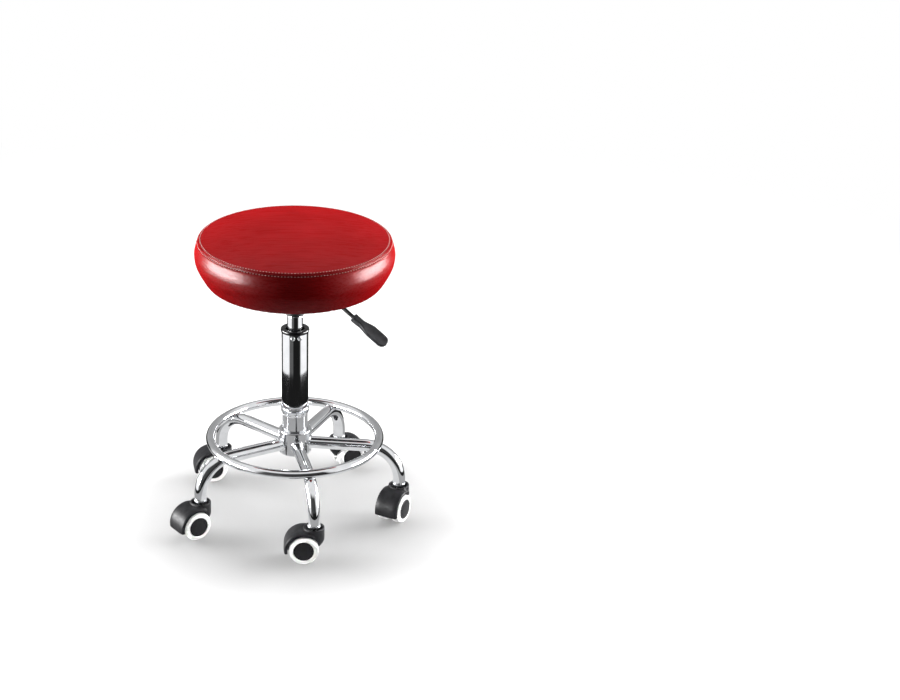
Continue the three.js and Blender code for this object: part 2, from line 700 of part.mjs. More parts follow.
function stemGeometry() {
  const flangeBottom = HOOD_BOSS_TOP + 0.5;
  const flangeTop = LEG_END - GAP;
  const gripRadius = LEG_BORE - 1.2;
  return turned([
    [0, STEM_PIN_BOTTOM],
    [STEM_PIN_RADIUS, STEM_PIN_BOTTOM],
    [STEM_PIN_RADIUS, HOOD_RECESS_FLOOR + GAP],
    [8, HOOD_RECESS_FLOOR + GAP],
    [8, flangeBottom],
    [STEM_FLANGE_RADIUS, flangeBottom],
    [STEM_FLANGE_RADIUS, flangeTop],
    [gripRadius, flangeTop],
    [gripRadius, flangeTop + 10],
    [gripRadius - 3, flangeTop + 24],
    [0, flangeTop + 24],
  ], SHAFT_SIDES + 2);
}

function addCasters() {
  CASTER_AZIMUTHS.forEach((trailAzimuth, i) => {
    const legAzimuth = THREE.MathUtils.degToRad(FRONT_LEG_AZIMUTH + i * 360 / LEG_COUNT);
    const caster = new THREE.Group();
    caster.position.set(
      CASTER_CIRCLE * Math.cos(legAzimuth),
      CASTER_CIRCLE * Math.sin(legAzimuth),
      0,
    );
    // The wheels lie on the caster's own -X side, so it is turned half round from where it trails.
    caster.rotation.z = THREE.MathUtils.degToRad(trailAzimuth + 180);
    const axle = crossRod(AXLE_RADIUS, AXLE_HALF, SHAFT_SIDES);
    const outer = wheelGeometry().rotateX(-Math.PI / 2);
    const inner = wheelGeometry().rotateX(Math.PI / 2);
    addPiece(caster, `caster_stem_${i + 1}`, stemGeometry(), 'steel');
    addPiece(caster, `caster_hood_${i + 1}`, hoodGeometry(), 'blackNylon');
    addPiece(caster, `caster_axle_${i + 1}`, axle.translate(-TRAIL, 0, WHEEL_RADIUS), 'steel');
    addPiece(caster, `wheel_${i + 1}_a`, outer.translate(-TRAIL, 0, WHEEL_RADIUS), 'whiteTread');
    addPiece(caster, `wheel_${i + 1}_b`, inner.translate(-TRAIL, 0, WHEEL_RADIUS), 'whiteTread');
    stool.add(caster);
  });
}

addSeat();
addSeatPlate();
addLever();
addGasLift();
addColumn();
addHub();
addLegs();
addCasters();

export default stool;
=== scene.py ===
"""Looks of the rolling stylist stool: smooth metalwork, casters and a sewn cushion around the
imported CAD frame. Shapes are worked out in millimetres, with +Z up and -Y at the front, and
become metres when they are turned into objects."""

import json
import math

import bmesh
import bpy
import numpy as np
from mathutils import Matrix, Vector, noise
from mathutils.kdtree import KDTree


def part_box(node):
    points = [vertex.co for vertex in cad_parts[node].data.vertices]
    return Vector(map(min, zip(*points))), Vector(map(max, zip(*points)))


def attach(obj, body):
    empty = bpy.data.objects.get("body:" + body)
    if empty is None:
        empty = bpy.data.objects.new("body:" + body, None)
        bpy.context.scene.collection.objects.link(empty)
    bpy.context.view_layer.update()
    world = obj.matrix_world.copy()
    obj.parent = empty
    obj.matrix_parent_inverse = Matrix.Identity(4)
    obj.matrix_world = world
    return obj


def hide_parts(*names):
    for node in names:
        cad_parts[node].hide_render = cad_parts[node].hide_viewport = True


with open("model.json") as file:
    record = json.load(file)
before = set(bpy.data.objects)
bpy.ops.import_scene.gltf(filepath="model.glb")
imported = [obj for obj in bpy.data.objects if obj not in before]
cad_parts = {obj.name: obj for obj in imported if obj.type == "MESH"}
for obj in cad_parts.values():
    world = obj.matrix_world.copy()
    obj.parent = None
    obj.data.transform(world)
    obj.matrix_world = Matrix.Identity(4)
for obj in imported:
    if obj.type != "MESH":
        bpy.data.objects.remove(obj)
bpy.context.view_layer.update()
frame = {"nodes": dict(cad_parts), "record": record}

MM = 0.001
LEG_NUMBERS = range(1, 6)

# The cushion.
SEAM_RADIUS = 168
SEAM_DROP = 10.5
FOOT_RADIUS = 156
FOOT_RISE = 3
FOOT_ROUND = 13
FOOT_SAG = 4.2
SIDE_BULGE = 12
BULGE_POWER = 1.1
CROWN_POWER = 2.4
FINE_STEP = 0.45
FINE_REACH = 7.5
SWELL_ROOM = 1.0
SWELL_FADE = 30
SWELL_LIMIT = 6.0
SWELL_SHOWN = 1.2
SWELL_FRAMES = 20
CLOTH_SETTINGS = {
    "quality": 6,
    "mass": 0.3,
    "use_pressure": True,
    "uniform_pressure_force": 5,
    "tension_stiffness": 3,
    "compression_stiffness": 3,
    "shear_stiffness": 2,
    "bending_stiffness": 0.1,
}
WRINKLED = (-82, -8)
GATHERED = (-104, -82)
STITCH_ROWS = (-4.2, 3.6)
STITCH_COUNT = 192
CUSHION_SIDES = 2 * STITCH_COUNT
STITCH_HALF_LENGTH = 1.25
STITCH_RADIUS = 0.8
STITCH_LIFT = 0.35
STAPLE_COUNT = 44

# The lever, measured along its own line from the axis of the lift.
LEVER_AZIMUTH = math.radians(-30)
LEVER_ROD_START = 30
LEVER_STRAIGHT = 30
LEVER_BEND = 40
LEVER_DROOP = math.radians(32)
LEVER_TAIL = 64
LEVER_RADIUS = 3.5
HANDLE_LENGTH = 76
HANDLE_NECK = 6.2
HANDLE_HALF_WIDTH = 12
HANDLE_THICKNESS = 6
HANDLE_TWIST = math.radians(20)
HANDLE_OVERLAP = 22
HANDLE_NECK_END = 16
HANDLE_PADDLE_START = 42

# The base.
LEG_HEIGHT = 138
LEG_BEND = 62
CASTER_CIRCLE = 190
LEG_RADIUS = 11
LEG_BORE = 9.5
LEG_STRAIGHT = (26, 60, 95, 116, 123)
FOOT_RING_TUBE = 8

# The floor: its own glow, dim under the stool as a painted shadow of the stool, and its albedo
# under the stool, and where the glow fades to plain white, in metres.
FLOOR_PAINTED_SHADE_GLOW = 0.13
FLOOR_ALBEDO = 0.34
FLOOR_NEAR = 0.14
FLOOR_FAR = 0.52
FLOOR_EDGE = 2.2
FLOOR_SIZE = 60

# A caster. Its own -X side is where its wheels trail.
TRAIL = 18
AXLE_HEIGHT = 26
LIE_ALONG_Y = Matrix.Rotation(-math.pi / 2, 4, "X")
WHEEL_TURNS = {"a": -math.pi / 2, "b": math.pi / 2}


# Shapes

def lofted(rings, closed=False):
    """Vertices and faces through rings of equal size. Points that coincide are merged later."""
    rings = np.asarray(rings, float)
    count, sides = rings.shape[:2]
    faces = []
    for i in range(count if closed else count - 1):
        lower = i * sides
        upper = (i + 1) % count * sides
        for j in range(sides):
            k = (j + 1) % sides
            faces.append((lower + j, lower + k, upper + k, upper + j))
    return rings.reshape(-1, 3), faces


def angles_round(sides):
    return 2 * math.pi * np.arange(sides) / sides


def unit_circle(sides):
    angles = angles_round(sides)
    return np.stack([np.cos(angles), np.sin(angles)], axis=1)


def turned(profile, sides=96, open_ends=False):
    """A shape turned about Z from (radius, height) points. It closes on the axis or on itself,
    unless its ends are left open."""
    circle = unit_circle(sides)
    rings = [
        np.column_stack([radius * circle, np.full(sides, height)]) for radius, height in profile
    ]
    return lofted(rings, closed=profile[0][0] > 0 and not open_ends)


def rounded(corners, steps=4):
    """The outline through (x, y, fillet) corners. Each arc has a point close by on either side,
    so that the long side next to it keeps an even shade."""
    outline = []
    for i, (x, y, fillet) in enumerate(corners):
        here = Vector((x, y))
        if fillet == 0:
            outline.append((x, y))
            continue
        back = Vector(corners[i - 1][:2]) - here
        ahead = Vector(corners[(i + 1) % len(corners)][:2]) - here
        size = min(fillet, 0.45 * back.length, 0.45 * ahead.length)
        start = here + back.normalized() * size
        end = here + ahead.normalized() * size
        outline.append(tuple(here + back.normalized() * min(1.35 * size, 0.49 * back.length)))
        for step in range(steps + 1):
            t = step / steps
            outline.append(tuple((1 - t) ** 2 * start + 2 * t * (1 - t) * here + t * t * end))
        outline.append(tuple(here + ahead.normalized() * min(1.35 * size, 0.49 * ahead.length)))
    return outline


def lathe(corners, sides=96):
    return turned(rounded(corners), sides)


def cylinder(radius, low, high, sides, fillet=0):
    return lathe([(0, low, 0), (radius, low, fillet), (radius, high, fillet), (0, high, 0)], sides)


def normalised(vectors):
    return vectors / np.linalg.norm(vectors, axis=-1, keepdims=True)


def round_rings(path, radii, reference, sides, closed=False):
    """Circles square to a path. The reference is a direction that the path never takes."""
    path = np.asarray(path, float)
    if closed:
        tangents = normalised(np.roll(path, -1, axis=0) - np.roll(path, 1, axis=0))
    else:
        tangents = normalised(np.gradient(path, axis=0))
    across = normalised(np.cross(tangents, reference))
    outward = np.cross(across, tangents)
    radii = np.broadcast_to(radii, len(path))[:, None, None]
    cosines, sines = unit_circle(sides).T[:, None, :, None]
    return path[:, None] + radii * (cosines * across[:, None] + sines * outward[:, None])


def bead(path, radius, sides=8):
    """A closed weld bead, slightly uneven along its length."""
    path = np.asarray(path, float)
    ripple = 1 + 0.16 * np.sin(np.arange(len(path)) * 2.1)
    outwards = path - path.mean(axis=0)
    return lofted(round_rings(path, radius * ripple, outwards, sides, closed=True), closed=True)


def joined(shapes):
    vertices, faces, offset = [], [], 0
    for points, polygons in shapes:
        vertices.append(points)
        faces.extend(tuple(corner + offset for corner in polygon) for polygon in polygons)
        offset += len(points)
    return np.concatenate(vertices), faces


def placed(shape, matrix):
    points, faces = shape
    matrix = np.array(matrix)
    return points @ matrix[:3, :3].T + matrix[:3, 3], faces


def block(x0, x1, y0, y1, z0, z1):
    corners = [(x, y, z) for z in (z0, z1) for x, y in ((x0, y0), (x1, y0), (x1, y1), (x0, y1))]
    ends = [(3, 2, 1, 0), (4, 5, 6, 7)]
    sides = [(0, 1, 5, 4), (1, 2, 6, 5), (2, 3, 7, 6), (3, 0, 4, 7)]
    return np.array(corners, float), ends + sides


def extruded(outline, y0, y1):
    """A slab between y0 and y1 whose outline lies in the XZ plane."""
    count = len(outline)
    points = [(x, y, z) for y in (y0, y1) for x, z in outline]
    ends = [tuple(range(count)), tuple(range(2 * count - 1, count - 1, -1))]
    sides = [(i, (i + 1) % count, count + (i + 1) % count, count + i) for i in range(count)]
    return np.array(points, float), ends + sides


def arc(x, y, radius, start, end, steps):
    angles = np.radians(np.linspace(start, end, steps + 1))
    return [(x + radius * math.cos(a), y + radius * math.sin(a)) for a in angles]


def turn_z(angle):
    return Matrix.Rotation(angle, 4, "Z")


def shift(x, y, z):
    return Matrix.Translation((x, y, z))


# Pieces

def span(node):
    """A CAD node's lowest and highest corners, in millimetres."""
    low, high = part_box(node)
    return low / MM, high / MM


def middle(node):
    low, high = span(node)
    return (low + high) / 2


def mesh_from(name, shape, sharp=35, scale=MM):
    points, faces = shape
    mesh = bpy.data.meshes.new(name)
    mesh.from_pydata((points * scale).tolist(), [], faces)
    tidy = bmesh.new()
    tidy.from_mesh(mesh)
    bmesh.ops.remove_doubles(tidy, verts=tidy.verts, dist=1e-7)
    bmesh.ops.recalc_face_normals(tidy, faces=tidy.faces)
    tidy.to_mesh(mesh)
    tidy.free()
    mesh.shade_smooth()
    mesh.set_sharp_from_angle(angle=math.radians(sharp))
    return mesh


def add_object(name, data):
    made = bpy.data.objects.new(name, data)
    bpy.context.scene.collection.objects.link(made)
    return made


def hide_from(made, *rays):
    """Keeps an object or a light out of some kinds of ray."""
    for kind in rays:
        setattr(made, f"visible_{kind}", False)


def add_piece(name, mesh, finish, body, replaces=(), matrix=None):
    """An object that rides on a CAD body and takes a finish from MATERIALS."""
    piece = add_object(name, mesh)
    if matrix is not None:
        piece.matrix_world = matrix
    if not mesh.materials:
        mesh.materials.append(MATERIALS[finish])
    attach(piece, body)
    if replaces:
        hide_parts(*replaces)
    return piece


def add_shape(name, shape, finish, body, replaces=(), sharp=35):
    return add_piece(name, mesh_from(name, shape, sharp), finish, body, replaces)


def add_modifier(holder, kind, **settings):
    modifier = holder.modifiers.new(kind.lower(), kind)
    for name, value in settings.items():
        setattr(modifier, name, value)
    return modifier


def evaluated_mesh(holder):
    """The mesh of an object with its modifiers applied. The object itself is removed."""
    graph = bpy.context.evaluated_depsgraph_get()
    graph.update()
    mesh = bpy.data.meshes.new_from_object(holder.evaluated_get(graph))
    bpy.data.objects.remove(holder)
    return mesh


def bevelled_copy(node, width):
    """A copy of a CAD node's mesh with its edges broken by a small bevel."""
    mesh = frame["nodes"][node].data.copy()
    tidy = bmesh.new()
    tidy.from_mesh(mesh)
    bmesh.ops.remove_doubles(tidy, verts=tidy.verts, dist=1e-6)
    bmesh.ops.dissolve_limit(tidy, angle_limit=math.radians(1), verts=tidy.verts, edges=tidy.edges)
    tidy.to_mesh(mesh)
    tidy.free()
    mesh.materials.clear()
    holder = add_object("bevel_holder", mesh)
    angle = math.radians(35)
    add_modifier(
        holder, "BEVEL", width=width * MM, segments=3, limit_method="ANGLE", angle_limit=angle
    )
    result = evaluated_mesh(holder)
    result.shade_smooth()
    result.set_sharp_from_angle(angle=angle)
    return result


# Materials

def add_node(tree, kind, inputs=None, **settings):
    """A node with its settings, and its inputs either linked from a socket or set to a value."""
    made = tree.nodes.new(kind)
    for name, value in settings.items():
        setattr(made, name, value)
    for key, value in (inputs or {}).items():
        if isinstance(value, bpy.types.NodeSocket):
            tree.links.new(value, made.inputs[key])
        else:
            made.inputs[key].default_value = value
    return made


def emptied_tree(owner):
    """The node tree of a material or a world, with nothing in it."""
    owner.use_nodes = True
    owner.node_tree.nodes.clear()
    return owner.node_tree


def ranged(tree, value, low, high, start=0.3, end=0.7):
    """Takes a texture from start to end onto low to high."""
    inputs = {"Value": value, "From Min": start, "From Max": end, "To Min": low, "To Max": high}
    scaled = add_node(tree, "ShaderNodeMapRange", inputs, interpolation_type="SMOOTHSTEP")
    return scaled.outputs["Result"]


def mixed_colour(tree, factor, first, second, blend_type="MIX"):
    inputs = {"Factor": factor, "A": first, "B": second}
    mix = add_node(tree, "ShaderNodeMix", inputs, data_type="RGBA", blend_type=blend_type)
    return mix.outputs["Result"]


class Finish:
    """A material whose shader has some values on its own sockets and textures on the others."""

    def __init__(self, name, **sockets):
        self.material = bpy.data.materials.new(name)
        self.material.use_nodes = True
        self.tree = self.material.node_tree
        self.shader = self.tree.nodes["Principled BSDF"]
        for key, value in sockets.items():
            self.shader.inputs[key.replace("_", " ")].default_value = value

    def link(self, source, *sockets):
        for socket in sockets:
            self.tree.links.new(source, self.shader.inputs[socket])

    def coordinates(self, stretch=(1, 1, 1)):
        coordinates = add_node(self.tree, "ShaderNodeTexCoord")
        inputs = {"Vector": coordinates.outputs["Object"], "Scale": stretch}
        return add_node(self.tree, "ShaderNodeMapping", inputs).outputs["Vector"]

    def noise(self, scale, detail=3, roughness=0.5, stretch=(1, 1, 1)):
        vector = self.coordinates(stretch)
        inputs = {"Vector": vector, "Scale": scale, "Detail": detail, "Roughness": roughness}
        return add_node(self.tree, "ShaderNodeTexNoise", inputs).outputs["Fac"]

    def cells(self, scale, randomness=1.0, **settings):
        inputs = {"Vector": self.coordinates(), "Scale": scale, "Randomness": randomness}
        return add_node(self.tree, "ShaderNodeTexVoronoi", inputs, **settings).outputs["Distance"]

    def ramp(self, value, low, high):
        """A colour from low to high, by a texture."""
        ramp = add_node(self.tree, "ShaderNodeValToRGB", {"Fac": value})
        for element, position, colour in zip(ramp.color_ramp.elements, (0.3, 0.7), (low, high)):
            element.position = position
            element.color = (*colour, 1)
        return ramp.outputs["Color"]

    def bumped(self, height, distance, strength=1.0, under=None):
        inputs = {"Height": height, "Distance": distance * MM, "Strength": strength}
        if under is not None:
            inputs["Normal"] = under
        return add_node(self.tree, "ShaderNodeBump", inputs).outputs["Normal"]

    def colour(self, value, low, high):
        self.link(self.ramp(value, low, high), "Base Color")

    def roughness(self, value, low, high):
        self.link(ranged(self.tree, value, low, high), "Roughness")

    def bump(self, height, distance):
        self.link(self.bumped(height, distance), "Normal")


def metal(name, low, high, roughness, smear, wave=0.0):
    """Bare metal with faint smears in its gloss, and a slow wave in its surface if it is drawn."""
    finish = Finish(name, Metallic=1.0)
    finish.colour(finish.noise(45), low, high)
    smears = finish.noise(60, detail=5, stretch=(1, 1, 0.35))
    finish.roughness(smears, roughness, roughness + smear)
    if wave:
        finish.bump(finish.noise(22, detail=1), wave)
    return finish.material


def moulded(name, low, high, roughness, grain, specular=0.5):
    """Moulded plastic with a fine spark-eroded grain and a little scuffing."""
    finish = Finish(name, Specular_IOR_Level=specular)
    finish.colour(finish.noise(90, detail=4), low, high)
    scuffs = finish.noise(140, detail=6, roughness=0.65)
    finish.roughness(scuffs, roughness, roughness + 0.12)
    finish.bump(finish.noise(2600, detail=2), grain)
    return finish.material


def tread_finish():
    finish = Finish("white_tread", Specular_IOR_Level=0.4)
    wear = finish.noise(160, detail=5, roughness=0.6)
    finish.colour(wear, (0.84, 0.84, 0.83), (0.93, 0.93, 0.93))
    finish.roughness(wear, 0.55, 0.42)
    finish.bump(finish.noise(1500, detail=2), 0.02)
    return finish.material


def powder_coat_finish():
    finish = Finish("black_powder_coat")
    finish.colour(finish.noise(300), (0.008, 0.008, 0.009), (0.018, 0.018, 0.020))
    finish.roughness(finish.noise(500), 0.28, 0.42)
    finish.bump(finish.noise(1100, detail=1), 0.05)
    return finish.material


def leather_finish():
    """Red synthetic leather under a clear gloss: pebbled grain, drawn streaks, shallow creases."""
    finish = Finish("red_leather", Specular_IOR_Level=0.0, Coat_Weight=0.05, Coat_IOR=3.0)
    patches = finish.noise(16, detail=4, roughness=0.6)
    tone = finish.ramp(patches, (0.32, 0.003, 0.004), (0.38, 0.005, 0.007))
    streaks = finish.noise(1, detail=5, roughness=0.6, stretch=(15, 380, 380))
    light = finish.ramp(streaks, (0.93, 0.85, 0.85), (1.07, 1.4, 1.4))
    finish.link(mixed_colour(finish.tree, 1.0, tone, light, blend_type="MULTIPLY"), "Base Color")
    finish.link(ranged(finish.tree, streaks, 0.24, 0.34), "Coat Roughness")
    creases = finish.noise(1, detail=3, roughness=0.6, stretch=(22, 80, 190))
    soft = finish.bumped(creases, 0.35, 0.8)
    lines = finish.bumped(streaks, 0.05, 0.8, soft)
    grain = finish.bumped(finish.cells(1300, feature="SMOOTH_F1"), 0.05, 0.8, lines)
    finish.link(grain, "Normal", "Coat Normal")
    return finish.material


def thread_finish():
    finish = Finish("pink_thread", Sheen_Weight=0.2, Specular_IOR_Level=0.2)
    twist = finish.noise(2200, detail=2)
    finish.colour(twist, (0.66, 0.26, 0.25), (0.88, 0.48, 0.46))
    finish.roughness(twist, 0.42, 0.58)
    finish.bump(twist, 0.08)
    return finish.material


def foam_finish():
    finish = Finish("open_cell_foam", Roughness=0.95)
    cells = finish.cells(900)
    finish.colour(cells, (0.42, 0.36, 0.20), (0.78, 0.70, 0.48))
    finish.bump(cells, 0.5)
    return finish.material


def plywood_finish():
    """Birch plywood with a long grain."""
    finish = Finish("birch_plywood", Roughness=0.6)
    grain = finish.noise(1, detail=5, stretch=(12, 260, 700))
    finish.colour(grain, (0.38, 0.24, 0.12), (0.62, 0.44, 0.25))
    finish.bump(grain, 0.15)
    return finish.material


def lining_finish():
    """Non-woven lining: matted fibres pressed with a small square grid."""
    finish = Finish("black_lining", Roughness=0.85, Sheen_Weight=0.25)
    fibres = finish.noise(700, detail=6, roughness=0.7)
    finish.colour(fibres, (0.010, 0.010, 0.011), (0.040, 0.040, 0.043))
    matted = finish.bumped(fibres, 0.25)
    pressed = finish.cells(520.0, randomness=0.0, distance="CHEBYCHEV")
    finish.link(finish.bumped(pressed, 0.2, 1.0, matted), "Normal")
    return finish.material


def floor_finish():
    """Pale studio floor, greyer under the stool by painted shade, and clear from below."""
    material = bpy.data.materials.new("pale_floor")
    tree = emptied_tree(material)
    coordinates = add_node(tree, "ShaderNodeTexCoord").outputs["Object"]
    length = add_node(tree, "ShaderNodeVectorMath", {0: coordinates}, operation="LENGTH")
    distance = length.outputs["Value"]
    # The glow is dimmer under the stool: a painted shadow of the stool.
    glow = ranged(tree, distance, FLOOR_PAINTED_SHADE_GLOW, 1.0, FLOOR_NEAR, FLOOR_FAR)
    lit = ranged(tree, distance, FLOOR_ALBEDO, 0.0, FLOOR_NEAR, FLOOR_EDGE)
    emission = add_node(tree, "ShaderNodeEmission", {"Strength": glow}).outputs[0]
    grey = add_node(tree, "ShaderNodeCombineColor", {0: lit, 1: lit, 2: lit}).outputs["Color"]
    diffuse = add_node(tree, "ShaderNodeBsdfDiffuse", {"Color": grey}).outputs[0]
    both = add_node(tree, "ShaderNodeAddShader", {0: emission, 1: diffuse}).outputs[0]
    clear = add_node(tree, "ShaderNodeBsdfTransparent").outputs[0]
    below = add_node(tree, "ShaderNodeNewGeometry").outputs["Backfacing"]
    seen = add_node(tree, "ShaderNodeMixShader", {0: below, 1: both, 2: clear}).outputs[0]
    add_node(tree, "ShaderNodeOutputMaterial", {"Surface": seen})
    return material


# Each finish is a slot of the record, or a variant of one after a colon.
MATERIALS = {
    "chrome": metal("chrome_plate", (0.80, 0.81, 0.83), (0.88, 0.89, 0.91), 0.025, 0.05, wave=0.12),
    "steel": metal("zinc_steel", (0.46, 0.47, 0.50), (0.60, 0.61, 0.63), 0.24, 0.16),
    "brass": metal("plain_brass", (0.52, 0.37, 0.14), (0.66, 0.50, 0.22), 0.22, 0.14),
    "black_steel": powder_coat_finish(),
    "black_nylon": moulded(
        "satin_black_nylon", (0.010, 0.010, 0.011), (0.020, 0.020, 0.022), 0.36, 0.03, 0.10
    ),
    "black_nylon:glossy": moulded(
        "glossy_black_nylon", (0.004, 0.004, 0.005), (0.010, 0.010, 0.011), 0.10, 0.004
    ),
    "black_nylon:cap": moulded(
        "wheel_cap_nylon", (0.007, 0.007, 0.008), (0.013, 0.013, 0.014), 0.26, 0.02, 0.15
    ),
    "grey_nylon": moulded(
        "satin_grey_nylon", (0.045, 0.047, 0.051), (0.075, 0.077, 0.082), 0.34, 0.02, 0.15
    ),
    "tread": tread_finish(),
    "leather": leather_finish(),
    "leather:thread": thread_finish(),
    "foam": foam_finish(),
    "plywood": plywood_finish(),
    "lining": lining_finish(),
}


def finish_cad_nodes():
    """Every CAD node takes the material of its slot. Most are replaced later by smoother pieces."""
    for part in frame["record"]["subparts"]:
        mesh = frame["nodes"][part["node"]].data
        mesh.materials.clear()
        mesh.materials.append(MATERIALS[part["material_slot"]])


# Cushion

def spaced(start, end, step, include_end=False):
    count = max(1, round(abs(end - start) / step))
    values = np.linspace(start, end, count + 1)
    return values if include_end else values[:-1]


class Cushion:
    """The cushion's outline, from the middle of its underside round to the middle of its top."""

    def __init__(self):
        low, high = span("seat_cover")
        self.bottom = low.z
        self.seam_height = high.z - SEAM_DROP
        self.foot = low.z + FOOT_RISE
        self.tuck_radius = span("dust_cover")[1].y + 1

    def side_radius(self, height):
        t = (height - self.foot) / (self.seam_height - self.foot)
        bulge = SIDE_BULGE * math.sin(math.pi * t ** BULGE_POWER)
        return FOOT_RADIUS + (SEAM_RADIUS - FOOT_RADIUS) * t + bulge

    def crown_height(self, radius):
        return self.seam_height + SEAM_DROP * (1 - (radius / SEAM_RADIUS) ** CROWN_POWER)

    def foot_curve(self, start, steps):
        """The full, rounded edge between the underside and the side, which sags a little."""
        rise = self.bottom + FOOT_ROUND
        end = self.side_radius(rise)
        slope = self.side_radius(rise + 1) - end
        corner = (end - slope * (FOOT_ROUND + FOOT_SAG), self.bottom - FOOT_SAG)
        curve = []
        for t in np.linspace(0, 1, steps + 1)[:-1]:
            weights = (1 - t) ** 2, 2 * t * (1 - t), t * t
            radius = weights[0] * start + weights[1] * corner[0] + weights[2] * end
            height = weights[0] * self.bottom + weights[1] * corner[1] + weights[2] * rise
            curve.append((radius, height))
        return curve

    def outline(self, fine, coarse):
        """Points of [radius, height], closest together by the seam, and the seam's number."""
        lip = self.bottom + 1.3
        edge = self.tuck_radius
        points = [(radius, lip) for radius in spaced(0, edge - 1, 12)]
        points += [(edge - 0.8, lip), (edge, lip)]
        points += [(edge + 0.2, self.bottom + 0.4), (edge + 1, self.bottom)]
        round_start = edge + 4
        points += [(radius, self.bottom) for radius in spaced(edge + 2.5, round_start, 1.2)]
        points += self.foot_curve(round_start, 12)
        near = self.seam_height - FINE_REACH
        low_side = spaced(self.bottom + FOOT_ROUND, near, coarse)
        heights = [*low_side, *spaced(near, self.seam_height, fine)]
        points += [(self.side_radius(height), height) for height in heights]
        seam = len(points)
        near = SEAM_RADIUS - FINE_REACH
        radii = [*spaced(SEAM_RADIUS, near, fine), *spaced(near, 0, 1.4 * coarse, include_end=True)]
        points += [(max(radius, 0), self.crown_height(radius)) for radius in radii]
        return np.array(points), seam


def outline_normals(points):
    tangents = np.gradient(points, axis=0)
    normals = np.stack([tangents[:, 1], -tangents[:, 0]], axis=1)
    return normalised(normals)


def distance_from_seam(points, seam):
    """Distance along the outline, negative on the side and positive on the top."""
    steps = np.linalg.norm(np.diff(points, axis=0), axis=1)
    along = np.concatenate([[0], np.cumsum(steps)])
    return along - along[seam]


def dip(distance, place, depth, width):
    return -depth * np.exp(-((distance - place) / width) ** 2)


def sewn_relief(distance):
    """How the seam, the two rows of stitches and the fullness beside them shape the cover."""
    relief = dip(distance, 0, 2.4, 0.8)
    for row in STITCH_ROWS:
        relief += dip(distance, row, 0.35, 0.7)
        relief -= dip(distance, row + math.copysign(4.5, row), 0.3, 3.0)
    return relief


def needle_holes(distance):
    """Where the thread goes through the cover, at every second point round each row."""
    return sum(dip(distance, row, 0.9, 0.7) for row in STITCH_ROWS)


def swell_room(cushion, points, distance):
    """How far inside the outline the pad starts before it is blown up."""
    away = np.clip(np.abs(distance) / SWELL_FADE, 0, 1)
    inset = SWELL_ROOM * away * away * (3 - 2 * away)
    inset[points[:, 1] < cushion.foot - 0.5] = 0
    return inset


def simulated_swelling(cushion):
    """Blows the pad up as cloth that is held at its seam and on its board. Gives where each point
    of a coarse skin was, and how far it moved."""
    points, seam = cushion.outline(fine=3, coarse=6)
    inset = swell_room(cushion, points, distance_from_seam(points, seam))
    points = points - outline_normals(points) * inset[:, None]
    points[:, 0] = np.maximum(points[:, 0], 0)
    points[[0, -1], 0] = 0

    holder = add_object("pad_holder", mesh_from("pad_start", turned(points, 96)))
    add_modifier(holder, "REMESH", mode="VOXEL", voxel_size=5 * MM)
    pad = add_object("pad_cloth", evaluated_mesh(holder))

    rest = np.array([vertex.co for vertex in pad.data.vertices]) / MM
    radius = np.hypot(rest[:, 0], rest[:, 1])
    seam_gap = np.hypot(radius - SEAM_RADIUS, rest[:, 2] - cushion.seam_height)
    held = (seam_gap < 6) | (rest[:, 2] < cushion.foot + 2)
    group = pad.vertex_groups.new(name="held")
    group.add(np.flatnonzero(held).tolist(), 1.0, "REPLACE")

    cloth = add_modifier(pad, "CLOTH")
    for name, value in CLOTH_SETTINGS.items():
        setattr(cloth.settings, name, value)
    cloth.settings.effector_weights.gravity = 0
    cloth.settings.vertex_group_mass = "held"
    cloth.collision_settings.use_collision = False
    scene = bpy.context.scene
    for step in range(1, SWELL_FRAMES + 1):
        scene.frame_set(step)
    swollen = evaluated_mesh(pad)
    moved = np.array([vertex.co for vertex in swollen.vertices]) / MM - rest
    bpy.data.meshes.remove(swollen)
    scene.frame_set(1)

    length = np.linalg.norm(moved, axis=1, keepdims=True)
    limit = SWELL_LIMIT * np.clip(seam_gap / SWELL_FADE, 0, 1)[:, None] + 0.01
    return rest, moved * np.minimum(1, limit / np.maximum(length, 1e-9))


def spread_onto(points, places, moves):
    """Moves at the points, from the moves at nearby places."""
    tree = KDTree(len(places))
    for i, place in enumerate(places):
        tree.insert(place, i)
    tree.balance()
    result = np.zeros_like(points)
    for i, point in enumerate(points):
        found = tree.find_n(point, 7)
        weights = np.array([1 / (distance + 1.0) ** 2 for _, _, distance in found])
        result[i] = weights @ moves[[number for _, number, _ in found]] / weights.sum()
    return result


def wrinkle(point, distance):
    """Shallow creases that run round the side and fade out towards the seam and the foot."""
    x, y, z = point
    angle = math.atan2(y, x)
    around = Vector((2.6 * math.cos(angle), 2.6 * math.sin(angle), z / 9))
    lift = noise.noise(around) + 0.5 * noise.noise(2.3 * around)
    fade = math.exp(-((distance + 38) / 22) ** 2)
    return 0.42 * lift * fade


def pleat(angle, distance):
    """Folds where the cover is gathered under the board."""
    sway = 0.4 * math.sin(5 * angle) + 0.3 * math.sin(11 * angle + 1)
    fold = abs(math.sin(33 * angle + sway))
    return -0.55 * (1 - fold) ** 2 * math.exp(-((distance + 90) / 6) ** 2)


